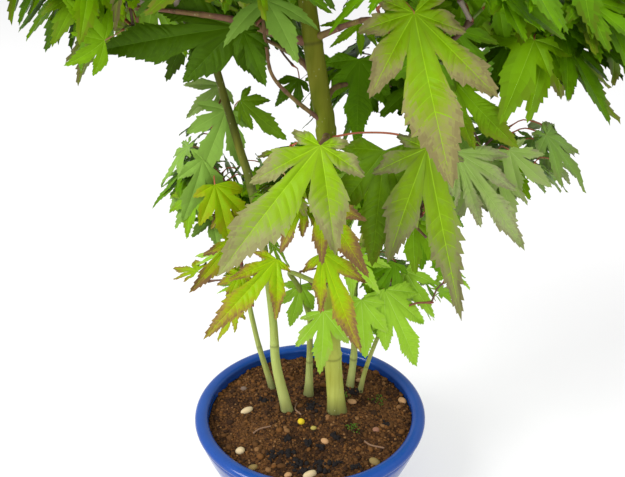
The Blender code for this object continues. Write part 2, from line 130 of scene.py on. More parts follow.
# Each bough: the stem it leaves, the height it leaves at, points it passes, radii at both ends and
# the mass it ends in.
BOUGHS = {
    "bough_left": ("main_trunk", 23.3, [(-1.9, 0.4, 23.8), (-4.2, 0.1, 24.6)], 0.22, 0.15,
                   "left_upper"),
    "bough_front_left": ("main_trunk", 18.9, [(-0.95, -0.7, 20.7), (-1.9, -1.9, 22.2),
                                              (-2.15, -2.2, 23.8), (-2.5, -2.6, 26.0)], 0.12, 0.09,
                         "front_left"),
    "bough_left_low": ("left_stem", 9.4, [(-2.95, -0.9, 10.4)], 0.13, 0.10, "left_low"),
    "bough_front": ("main_trunk", 18.2, [(0.7, -2.0, 18.7)], 0.17, 0.13, "front"),
    "bough_front_right_low": ("main_trunk", 16.0, [(2.6, -2.2, 17.2)], 0.16, 0.12, "front_right_low"),
    "bough_front_right": ("main_trunk", 23.5, [(2.2, -1.2, 24.6), (3.3, -2.9, 25.0)], 0.17, 0.12,
                          "front_right"),
    "bough_back": ("main_trunk", 19.8, [(1.7, 2.2, 20.6)], 0.17, 0.13, "back"),
    "bough_back_low": ("right_back_stem", 8.6, [(3.7, 5.2, 9.1)], 0.13, 0.10, "back_low"),
    "bough_back_left": ("main_trunk", 21.4, [(-1.0, 3.0, 22.2)], 0.18, 0.13, "back_left"),
    "bough_right": ("main_trunk", 26.6, [(3.2, 0.7, 27.6), (6.6, 0.2, 27.6)], 0.21, 0.14,
                    "right_upper"),
    "bough_back_right": ("main_trunk", 25.4, [(2.0, 3.4, 27.0)], 0.18, 0.13, "back_right"),
    "bough_top_left": ("main_trunk", 28.6, [(-3.0, 1.1, 30.3)], 0.19, 0.13, "top_left"),
    "bough_top_right": ("main_trunk", 29.6, [(2.3, 0.1, 31.0)], 0.19, 0.13, "top_right"),
    "bough_top_front": ("main_trunk", 30.8, [(-0.2, -1.6, 31.9)], 0.17, 0.12, "top_front"),
    "bough_top_back": ("main_trunk", 31.8, [(-0.5, 2.4, 32.9)], 0.17, 0.12, "top_back"),
}
BOUGH_STEP, BOUGH_SIDES = 0.12, 16
THIN_TO = 0.55
COLLAR_LENGTH, COLLAR_SWELL, COLLAR_FROM = 0.8, 0.35, 0.3


# ------------------------------------------------------------- small helpers
def world(points):
    """Table points, in centimetres from the rim, as metres from the pot's underside."""
    return (np.asarray(points, float) + (0, 0, POT_HEIGHT)) * CM


def table(points):
    """Points in metres from the pot's underside as table points."""
    return np.array(points) / CM - (0, 0, POT_HEIGHT)


def unit(vector):
    return vector / np.linalg.norm(vector, axis=-1, keepdims=True)


def cross(a, b):
    """The cross product of one pair of vectors, much quicker than numpy's."""
    return np.array((a[1] * b[2] - a[2] * b[1], a[2] * b[0] - a[0] * b[2], a[0] * b[1] - a[1] * b[0]))


def turn_about(vector, axis, angle):
    """The vector turned about a unit axis."""
    c, s = math.cos(angle), math.sin(angle)
    return vector * c + cross(axis, vector) * s + axis * (axis @ vector) * (1 - c)


def smoothstep(low, high, value):
    t = np.clip((value - low) / (high - low), 0, 1)
    return t * t * (3 - 2 * t)


def bump(away, centre, size, reach):
    """A rounded swelling about a centre, fading over its reach to both sides."""
    return size * np.exp(-((away - centre) / reach) ** 2)


def smooth_path(points, step):
    """Points about a step apart on a smooth curve through the given ones, ends included."""
    points = np.asarray(points, float)
    padded = np.vstack([2 * points[0] - points[1], points, 2 * points[-1] - points[-2]])
    curve = []
    for i in range(1, len(padded) - 2):
        before, start, end, after = padded[i - 1:i + 3]
        pieces = max(1, round(float(np.linalg.norm(end - start)) / step))
        t = (np.arange(pieces) / pieces)[:, None]
        curve.append(0.5 * (2 * start + (end - before) * t
                            + (2 * before - 5 * start + 4 * end - after) * t**2
                            + (3 * start - before - 3 * end + after) * t**3))
    return np.vstack([*curve, points[-1:]])


def distances(path):
    return np.concatenate([[0.0], np.cumsum(np.linalg.norm(np.diff(path, axis=0), axis=1))])


def directions_round(path):
    """Two directions square to a path at each of its points, turning as little as possible."""
    tangents = unit(np.gradient(path, axis=0))
    helper = np.array([0, 1, 0]) if abs(tangents[0][1]) < 0.9 else np.array([1, 0, 0])
    first = unit(np.cross(tangents[0], helper))
    firsts = [first]
    for tangent in tangents[1:]:
        first = unit(first - tangent * (first @ tangent))
        firsts.append(first)
    firsts = np.array(firsts)
    return firsts, np.cross(tangents, firsts)


def link(name, data):
    obj = bpy.data.objects.new(name, data)
    bpy.context.scene.collection.objects.link(obj)
    return obj


def mesh_of(bm, name):
    """The bmesh's shape as a mesh; the bmesh is freed."""
    mesh = bpy.data.meshes.new(name)
    bm.to_mesh(mesh)
    bm.free()
    return mesh


def new_piece(name, points, faces, materials, face_material=None, uvs=None, attributes=None):
    """A smooth mesh object, in metres, from points in centimetres and arrays of faces."""
    faces = [np.asarray(block, np.int32) for block in faces if len(block)]
    corners = np.concatenate([np.full(len(block), block.shape[1]) for block in faces])
    loops = np.concatenate([block.ravel() for block in faces])
    mesh = bpy.data.meshes.new(name)
    mesh.vertices.add(len(points))
    mesh.vertices.foreach_set("co", world(points).astype(np.float32).ravel())
    mesh.loops.add(len(loops))
    mesh.loops.foreach_set("vertex_index", loops)
    mesh.polygons.add(len(corners))
    mesh.polygons.foreach_set("loop_start", (np.cumsum(corners) - corners).astype(np.int32))
    mesh.polygons.foreach_set("use_smooth", np.ones(len(corners), bool))
    if face_material is not None:
        mesh.polygons.foreach_set("material_index", np.asarray(face_material, np.int32))
    if uvs is not None:
        mesh.uv_layers.new(name="OFBake").data.foreach_set("uv", uvs.astype(np.float32).ravel())
    for key, values in (attributes or {}).items():
        layer = mesh.attributes.new(key, "FLOAT", "POINT")
        layer.data.foreach_set("value", np.asarray(values, np.float32))
    for material in materials:
        mesh.materials.append(material)
    mesh.update(calc_edges=True)
    mesh.validate()
    return link(name, mesh)


def settle(piece, slot, *nodes):
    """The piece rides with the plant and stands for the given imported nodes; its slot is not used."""
    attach(piece, BODY)
    if nodes:
        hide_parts(*nodes)


def ring_faces(rows, sides):
    """(quads, caps) of rings of points one after another, each end closed with a point of its own."""
    count = rows * sides
    index = np.arange(count).reshape(rows, sides)
    after = np.roll(index, -1, axis=1)
    quads = np.stack([index[:-1], after[:-1], after[1:], index[1:]], -1).reshape(-1, 4)
    caps = np.vstack([np.stack([after[0], index[0], np.full(sides, count)], -1),
                      np.stack([index[-1], after[-1], np.full(sides, count + 1)], -1)])
    return quads, caps


def tube(path, radii, sides, relief=None):
    """(points, quads, caps, uvs) of a tube along a path, closed at both ends with a point.

    relief(turns, distance) gives what each point is pushed out by, as a share of the radius."""
    firsts, seconds = directions_round(path)
    along = distances(path)
    turn = 2 * np.pi * np.arange(sides) / sides
    ring = np.cos(turn)[:, None] * firsts[:, None] + np.sin(turn)[:, None] * seconds[:, None]
    reach = np.repeat(np.asarray(radii, float)[:, None], sides, 1)
    if relief is not None:
        reach = reach * (1 + relief(turn[None], along[:, None]))
    points = (path[:, None] + ring * reach[..., None]).reshape(-1, 3)
    rows = len(path)
    quads, caps = ring_faces(rows, sides)
    u, v = np.arange(sides) / sides, along / along[-1]
    grid_u = np.broadcast_to(np.stack([u, u + 1 / sides, u + 1 / sides, u], -1), (rows - 1, sides, 4))
    grid_v = np.broadcast_to(np.stack([v[:-1], v[:-1], v[1:], v[1:]], -1)[:, None], (rows - 1, sides, 4))
    cap_uv = np.zeros((2 * sides, 3, 2))
    cap_uv[sides:, :, 1] = 1
    uvs = np.vstack([np.stack([grid_u, grid_v], -1).reshape(-1, 2), cap_uv.reshape(-1, 2)])
    return np.vstack([points, path[0], path[-1]]), quads, caps, uvs


class Joined:
    """Many small meshes gathered into one piece, each face with its material's name."""

    def __init__(self):
        self.points, self.count = [], 0
        self.faces = {4: [], 3: []}
        self.names = {4: [], 3: []}

    def add(self, points, *groups):
        """Adds points and (faces, names) groups: one name for all of a group's faces, or one each."""
        for faces, names in groups:
            if len(faces):
                size = faces.shape[1]
                self.faces[size].append(faces + self.count)
                self.names[size].extend([names] * len(faces) if isinstance(names, str) else names)
        self.points.append(points)
        self.count += len(points)

    def add_tube(self, path, radii, sides, name):
        points, quads, caps, _ = tube(path, radii, sides)
        self.add(points, (quads, name), (caps, name))

    def build(self, name, library):
        used = sorted(set(self.names[4]) | set(self.names[3]))
        order = {material: i for i, material in enumerate(used)}
        faces = [np.vstack(blocks) for blocks in self.faces.values() if blocks]
        index = [order[material] for names in self.names.values() for material in names]
        return new_piece(name, np.vstack(self.points), faces, [library[m] for m in used], index)


# How much lower short waves are than long ones, as a power of their length.
WAVES_POWER = 0.6


class Waves:
    """Smooth seeded noise: a sum of so many plane waves, from the longest to the shortest."""

    def __init__(self, rng, lowest, highest, count):
        size = np.geomspace(lowest, highest, count)
        self.ways = unit(rng.normal(size=(count, 3))) * size[:, None]
        self.starts = rng.uniform(0, 2 * np.pi, count)
        self.share = (lowest / size) ** WAVES_POWER
        self.share /= np.sqrt((self.share**2).sum() / 2)

    def __call__(self, points):
        return np.sin(points @ self.ways.T + self.starts) @ self.share


# -------------------------------------------------------------------- leaves
# A leaf lies in its own plane: its stalk joins it at 0,0, its middle lobe runs one unit along +Y.
# Half-width along a lobe: how far out from the leaf's middle, and its share of the widest.
LOBE_OUTLINE = ((0, 0.02), (0.28, 0.62), (0.40, 0.87), (0.52, 1.0), (0.60, 0.92), (0.69, 0.69),
                (0.80, 0.45), (0.91, 0.26), (1, 0))
# How a lobe's width, the size of its teeth and their number grow with its length.
WIDTH_POWER, TOOTH_POWER, TEETH_POWER = 0.75, 0.6, 0.7
# The gap between neighbouring lobes, how softly a margin gives way to it, how far along it is full,
# how steeply a margin may leave a sinus, and how far out a sinus may lie on the shorter lobe.
LOBE_GAP, LOBE_SOFT, GAP_FULL_FROM, MARGIN_SLOPE, SINUS_AT_MOST = 0.022, 0.006, 0.25, 0.9, 0.72
# Where a margin has teeth, how they crowd towards the lobe's tip, how unevenly they stand, the range
# of their sizes, how much smaller they get towards the tip, and the sizes of the first two.
TOOTHED_FROM, TOOTHED_TO = 0.16, 0.93
TEETH_CROWDING, TEETH_UNEVENNESS, TOOTH_SIZES = 0.92, 0.28, (0.4, 1.5)
LAST_TOOTH_SMALLER, FIRST_TEETH = 0.40, (0.48, 0.88)
# Points of one tooth: (share of its pitch, push outwards, push ahead, whether a side vein starts here).
FINE_TOOTH = ((0.0, -0.20, 0.0, 0), (0.22, 0.38, 0.02, 0), (0.46, 0.42, 0.03, 0),
              (0.74, 0.92, 0.24, 1), (0.80, 1.0, 0.26, 0))
PLAIN_TOOTH = ((0.0, -0.30, 0.0, 0), (0.72, 1.0, 0.22, 0))
# Columns of points from a lobe's midrib to its margin; the first strip beside the midrib is its rib.
FINE_COLUMNS = (0, 0.03, 0.20, 0.38, 0.54, 0.68, 0.80, 0.90, 0.96, 1.0)
PLAIN_COLUMNS = (0, 0.05, 0.55, 1.0)
RIB_COLUMN_BELOW = 0.1
RIB_TAPER, RIB_WITHIN = 1.25, 0.4
# Side veins run up slanting from the midrib and arch; the blade swells between one and the next.
VEIN_SLANT, VEIN_ARCH, QUILT_SHIFT = 0.75, 0.25, 0.23
# The outer lobes' margins start this near the stalk, at this angle from their midribs.
BASE_HALF_ANGLE, BASE_REACH = math.radians(28), 0.10
# Rows of points between the leaf's middle and a sinus, which neighbouring lobes share.
SHARED_ROWS = (0.0, 0.5)
# Points of a leaf that fall on the same place of a grid so many times finer than the leaf are one.
MERGE_GRID = 2e4


def lobe_width(share):
    """Half-width along a lobe from the leaf's middle to the lobe's tip, 1 where it is widest."""
    return np.interp(share, *np.transpose(LOBE_OUTLINE))


def margin_stations(teeth, fine, rng):
    """(share of the way from sinus to tip, push outwards, push ahead, vein, bulge) along the margin."""
    rows = [(0.0, 0.0, 0.0, 0, 0.3)]
    rows += [(TOOTHED_FROM * share, 0.0, 0.0, 0, 0.9) for share in ((0.35, 0.7) if fine else (0.5,))]
    edges = np.linspace(0, 1, teeth + 1) ** TEETH_CROWDING
    edges[1:-1] += rng.uniform(-TEETH_UNEVENNESS, TEETH_UNEVENNESS, teeth - 1) / teeth
    edges = TOOTHED_FROM + (TOOTHED_TO - TOOTHED_FROM) * edges
    for k in range(teeth):
        pitch = edges[k + 1] - edges[k]
        swell = FIRST_TEETH[k] if k < len(FIRST_TEETH) else 1.0
        swell *= (1 - LAST_TOOTH_SMALLER * k / teeth) * rng.uniform(*TOOTH_SIZES)
        for share, out, ahead, vein in FINE_TOOTH if fine else PLAIN_TOOTH:
            bulge = math.sin(math.pi * ((share + QUILT_SHIFT) % 1))
            rows.append((edges[k] + share * pitch, out * swell, ahead * pitch, vein, bulge))
    rows += [(TOOTHED_TO, 0.0, 0.0, 0, 0.5), (1.0, 0.0, 0.0, 0, 0.0)]
    return np.array(rows).T


def half_lobe(length, width, sinus, crowded, stations, tooth, rib_half, columns):
    """Points (rows, columns) of one side of a lobe, as distances along and across its midrib."""
    share, out, ahead = stations[:3]
    along = sinus[0] + (length - sinus[0]) * share
    across = width * length**WIDTH_POWER * lobe_width(np.clip(along / length, 0, 1))
    across = across + max(0.0, sinus[1] - across[0]) * (1 - share) ** 3
    if crowded:
        room = along * sinus[1] / sinus[0] - LOBE_GAP * length * np.minimum(1, share / GAP_FULL_FROM)
        across = -LOBE_SOFT * np.log(np.exp(-across / LOBE_SOFT) + np.exp(-room / LOBE_SOFT))
        across[0] = sinus[1]
    across = np.minimum(across, sinus[1] + MARGIN_SLOPE * (along - sinus[0]))
    across[-1] = 0.0
    edge_along = along + ahead * (length - sinus[0])
    push = tooth * length**TOOTH_POWER * out
    edge_across = across + push * np.sqrt(np.maximum(across, 0) / across.max())
    shared = np.array(SHARED_ROWS)
    along, edge_along = (np.concatenate([shared * sinus[0], a]) for a in (along, edge_along))
    across, edge_across = (np.concatenate([shared * sinus[1], a]) for a in (across, edge_across))
    rib = np.maximum.accumulate(np.clip(along - VEIN_SLANT * across, 0, length))
    rib[-1] = length
    rib_width = np.minimum(rib_half * (RIB_TAPER - rib / length), RIB_WITHIN * across)
    points = []
    for v in columns:
        if v == 0:
            points.append((rib, np.zeros_like(rib)))
        elif v < RIB_COLUMN_BELOW:
            points.append((rib + rib_width * VEIN_SLANT, rib_width))
        elif v < 1:
            points.append((rib + v * (along - rib) - VEIN_ARCH * v * (1 - v) * across, v * across))
        else:
            points.append((edge_along, edge_across))
    return np.moveaxis(np.array(points), 0, 2)


def sinus_beside(lobes, i, side, joined):
    """Where the margin of lobe i turns to the next lobe or the stalk, along and across its midrib."""
    angle, length, _ = lobes[i]
    half, reach = BASE_HALF_ANGLE, BASE_REACH * length
    if 0 <= i + side < len(lobes):
        next_angle, next_length, _ = lobes[i + side]
        half = math.radians(abs(next_angle - angle)) / 2
        reach = min(joined * (length + next_length) / 2, SINUS_AT_MOST * min(length, next_length))
    return reach * math.cos(half), reach * math.sin(half)


def lobe_side(lobes, i, side, rng, joined, tooth, teeth, rib, fine):
    """Points and faces of one side of lobe i, and how far along and out from its midrib they lie."""
    columns = FINE_COLUMNS if fine else PLAIN_COLUMNS
    angle, length, width = lobes[i]
    c, s = math.cos(math.radians(angle)), math.sin(math.radians(angle))
    crowded = 0 <= i + side < len(lobes)
    stations = margin_stations(max(3, round(teeth * length**TEETH_POWER)), fine, rng)
    along, outwards = half_lobe(length, width, sinus_beside(lobes, i, side, joined), crowded, stations,
                                tooth, rib, columns)
    across = side * outwards
    rows, cols = along.shape
    index = np.arange(rows * cols).reshape(rows, cols)
    quads = np.stack([index[:-1, :-1], index[1:, :-1], index[1:, 1:], index[:-1, 1:]], -1)
    vein, bulge = (np.concatenate([np.zeros(len(SHARED_ROWS)), row]) for row in stations[3:])
    return {
        "xy": np.stack([along * s + across * c, along * c - across * s], -1).reshape(-1, 2),
        "along": (along / length).ravel(),
        "v": np.broadcast_to(columns, (rows, cols)).ravel(),
        "across": outwards.ravel(),
        "lobe": np.full(rows * cols, i),
        "bulge": np.repeat(bulge, cols),
        "faces": (quads[..., ::-1] if side > 0 else quads).reshape(-1, 4),
        "column": np.tile(np.arange(cols - 1), rows - 1),
        "vein": np.repeat(vein[:-1], cols - 1),
    }


def leaf_shape(lobes, rng, joined, tooth, teeth, rib, fine=False):
    """A leaf's flat mesh. lobes: (angle in degrees, length, half-width) in order round the leaf.

    joined is how far out neighbouring lobes stay one blade, tooth how far the teeth stand out, teeth
    how many the middle lobe has on each side, and rib the half-width of its midrib."""
    blocks, count = [], 0
    for i in range(len(lobes)):
        for side in (-1, 1):
            block = lobe_side(lobes, i, side, rng, joined, tooth, teeth, rib, fine)
            block["faces"] = block["faces"] + count
            count += len(block["xy"])
            blocks.append(block)
    return merged_leaf({key: np.concatenate([block[key] for block in blocks]) for key in blocks[0]}, lobes)


def merged_leaf(leaf, lobes):
    """The leaf with its doubled points joined, its faces split by corners, and its key points."""
    _, first, inverse = np.unique(np.round(leaf["xy"] * MERGE_GRID), axis=0, return_index=True,
                                  return_inverse=True)
    faces = inverse.reshape(-1)[leaf["faces"]]
    shape = {key: leaf[key][first] for key in ("xy", "along", "v", "across", "lobe", "bulge")}
    middle = {key: leaf[key][leaf["faces"]].mean(1) for key in ("along", "v", "xy")}
    same = faces == np.roll(faces, -1, axis=1)
    whole = ~same.any(1)
    once = same.sum(1) == 1
    corners = np.array([[c for c, dropped in zip(face, drop) if not dropped]
                        for face, drop in zip(faces[once], same[once])]).reshape(-1, 3)
    order = np.concatenate([np.flatnonzero(whole), np.flatnonzero(once)])
    shape.update(quads=faces[whole], tris=corners, face_column=leaf["column"][order],
                 face_vein=leaf["vein"][order] > 0, face_along=middle["along"][order],
                 face_v=middle["v"][order], face_xy=middle["xy"][order])
    turns = np.radians([lobe[0] for lobe in lobes])
    ahead = np.stack([np.sin(turns), np.cos(turns)], -1)
    beside = np.stack([np.cos(turns), -np.sin(turns)], -1)
    lengths = np.array([[lobe[1]] for lobe in lobes])
    widths = np.array([[lobe[1] ** WIDTH_POWER * lobe[2]] for lobe in lobes])
    shape["tips"] = ahead * lengths
    shape["flanks"] = np.stack([ahead * lengths * 0.5 + beside * widths,
                                ahead * lengths * 0.5 - beside * widths], 1)
    return shape


# The share of a leaf's reach that its search tree covers, so that tips may touch but blades not.
KITE_SHARE = 0.84
# Waves along a margin per lobe, how far the next lobe's are shifted, and where the quilting ends.
WAVES_A_LOBE, WAVE_SHIFT, QUILT_END = 1.4, 0.37, 1.05


class Leaf:
    """A leaf's place: its junction with its stalk, middle lobe's direction, upper side and bend.

    base is where its stalk leaves a twig, and route the points that a long stalk passes."""

    def __init__(self, shape, junction, axis, normal, length, bend, tone, strength, base=None, route=None):
        self.shape, self.length, self.bend = shape, length, bend
        self.tone, self.strength = tone, strength
        self.base, self.route = base, route
        self.junction = np.asarray(junction, float)
        self.axis = unit(np.asarray(axis, float))
        self.normal = unit(normal - self.axis * (normal @ self.axis))
        self.right = cross(self.axis, self.normal)

    def place(self, xy, rise):
        flat = xy[..., :1] * self.right + xy[..., 1:] * self.axis + rise[..., None] * self.normal
        return self.junction + self.length * flat

    def sag(self, xy):
        """How far a point of the flat leaf hangs below its plane, as a negative rise."""
        reach = np.linalg.norm(xy, axis=-1)
        return -self.bend["droop"] * reach**2 - self.bend["curl"] * xy[..., 0] ** 2

    def key_points(self):
        """Lobe tips and flanks, for finding what the leaf is near."""
        return [self.place(self.shape[key], self.sag(self.shape[key])) for key in ("tips", "flanks")]

    def coarse(self):
        """A search tree of the leaf's lobes as plain kites."""
        tips, flanks = (self.junction + KITE_SHARE * (p - self.junction) for p in self.key_points())
        points, faces = [self.junction], []
        for tip, (right, left) in zip(tips, flanks):
            n = len(points)
            points += [right, tip, left]
            faces += [(0, n, n + 1), (0, n + 1, n + 2)]
        return BVHTree.FromPolygons([tuple(p) for p in points], faces)

    def points(self):
        """Every point of the blade, arched, curled, folded, waved and quilted between its veins."""
        shape, bend = self.shape, self.bend
        along, v, lobe = shape["along"], shape["v"], shape["lobe"]
        turn = 2 * np.pi * (WAVES_A_LOBE * along + WAVE_SHIFT * lobe + bend["phase"])
        wave = bend["wave"] * np.sin(turn) * v**2
        fading = np.sqrt(np.clip(QUILT_END - along, 0, 1))
        quilt = bend["quilt"] * shape["bulge"] * 4 * v * (1 - v) * fading
        rise = self.sag(shape["xy"]) + bend["fold"] * shape["across"] + wave * along + quilt
        return self.place(shape["xy"], rise)


# ------------------------------------------------------------- leaf colours
# Each tone: how many steps it takes from the middle of the leaf to its margin, the colours they run
# through, and the colour of its ribs.
TONES = {
    "amber": (12, [(0.160, 0.300, 0.001), (0.155, 0.258, 0.001), (0.176, 0.246, 0.012),
                   (0.202, 0.222, 0.045), (0.205, 0.190, 0.066), (0.170, 0.145, 0.055)],
              (0.235, 0.42, 0.006)),
    # The next tone is green in the middle; its pale grey margins and tips are painted sheen over the autumn
    # tint.
    "glauc": (12, [(0.182, 0.325, 0.002), (0.178, 0.290, 0.006), (0.190, 0.270, 0.028),
                   (0.205, 0.250, 0.055), (0.215, 0.225, 0.075), (0.190, 0.180, 0.068)],
              (0.26, 0.44, 0.01)),
    # The next tone has the colours above at about three quarters of their brightness: painted shade for a
    # leaf in shadow.
    "slate": (12, [(0.142, 0.250, 0.002), (0.134, 0.215, 0.006), (0.138, 0.198, 0.022),
                   (0.150, 0.184, 0.042), (0.156, 0.164, 0.056), (0.135, 0.128, 0.050)],
              (0.22, 0.38, 0.01)),
    "flame": (12, [(0.220, 0.385, 0.001), (0.238, 0.350, 0.001), (0.250, 0.290, 0.003),
                   (0.250, 0.212, 0.018), (0.220, 0.145, 0.032), (0.165, 0.095, 0.034)],
              (0.34, 0.48, 0.005)),
    "mid": (8, [(0.120, 0.285, 0.001), (0.100, 0.232, 0.001), (0.080, 0.182, 0.001),
                (0.085, 0.142, 0.003)], (0.175, 0.350, 0.010)),
    "fresh": (8, [(0.172, 0.355, 0.002), (0.146, 0.295, 0.001), (0.128, 0.235, 0.001),
                  (0.14, 0.19, 0.008)], (0.25, 0.46, 0.02)),
    "moss": (8, [(0.105, 0.210, 0.001), (0.085, 0.168, 0.001), (0.088, 0.138, 0.002),
                 (0.115, 0.118, 0.012)], (0.155, 0.285, 0.008)),
    "deep": (6, [(0.062, 0.140, 0.001), (0.048, 0.105, 0.001), (0.042, 0.082, 0.001)],
             (0.085, 0.185, 0.005)),
    "lime": (8, [(0.285, 0.520, 0.030), (0.255, 0.465, 0.022), (0.290, 0.470, 0.055),
                 (0.30, 0.40, 0.05)], (0.38, 0.60, 0.09)),
    # The next tone is a pale, greyish green; on green_top_left it is painted sheen for the leaf's glossy
    # highlights.
    "haze": (8, [(0.200, 0.360, 0.050), (0.180, 0.312, 0.045), (0.165, 0.270, 0.048),
                 (0.18, 0.24, 0.06)], (0.26, 0.43, 0.07)),
    "dusk": (8, [(0.27, 0.41, 0.085), (0.27, 0.37, 0.10), (0.275, 0.33, 0.13),
                 (0.22, 0.225, 0.105)], (0.33, 0.47, 0.13)),
}
# A face's tone, 0 in the middle and 1 at the margin, adds up shares for how near the lobe's edge and
# its tip it is, for mottling and for chance. The chance grows towards the margin and tip, a speckle
# that is partly painted sheen. Ribs and side veins show as far out as given here.
TONE_START, EDGE_SHARE, TIP_SHARE, MOTTLE_SHARE = 0.08, 0.36, 0.66, 0.075
EDGE_SPAN, EDGE_ALONG, TIP_SPAN = (0.35, 1.0), (0.0, 0.55), (0.30, 0.86)
CHANCE, CHANCE_OUTSIDE = 0.040, 0.045
RIB_TO, VEIN_TO = 0.86, 0.80
VEIN_BELOW_TONE, VEIN_PALER = 0.32, 0.20
VEIN_RIB_SHARE = 0.28


def tone_names(leaf, rng):
    """A material name for each face: the tone's steps run out to the margins and tips."""
    shape = leaf.shape
    steps = TONES[leaf.tone][0]
    along, v = shape["face_along"], shape["face_v"]
    x, y = shape["face_xy"].T
    a, b, c = rng.uniform(0, 2 * np.pi, 3)
    mottle = np.sin(9 * x + a) * np.sin(7 * y + b) + 0.6 * np.sin(23 * x - 17 * y + c)
    mottle = mottle + 0.5 * np.sin(41 * x + 29 * y + b) * np.sin(37 * y - 19 * x + a)
    edge = smoothstep(*EDGE_SPAN, v) * smoothstep(*EDGE_ALONG, along)
    tip = smoothstep(*TIP_SPAN, along)
    tone = leaf.strength * (EDGE_SHARE * edge + TIP_SHARE * tip) + MOTTLE_SHARE * mottle + TONE_START
    # The extra chance towards the margin and tip speckles faces there, partly as painted sheen.
    tone = tone + rng.normal(0, CHANCE + CHANCE_OUTSIDE * leaf.strength * (edge + tip), len(tone))
    tone = tone - VEIN_PALER * shape["face_vein"]
    step = np.clip(tone * steps, 0, steps - 1).astype(int)
    step[shape["face_vein"] & (v < VEIN_TO) & (tone < VEIN_BELOW_TONE)] = steps + 1
    step[(shape["face_column"] == 0) & (along < RIB_TO)] = steps
    kinds = [*range(1, steps + 1), "rib", "vein"]
    return np.array([f"leaf_{leaf.tone}_{kind}" for kind in kinds])[step].tolist()


def add_leaf(joined, leaf, rng):
    names = tone_names(leaf, rng)
    whole = len(leaf.shape["quads"])
    joined.add(leaf.points(), (leaf.shape["quads"], names[:whole]), (leaf.shape["tris"], names[whole:]))


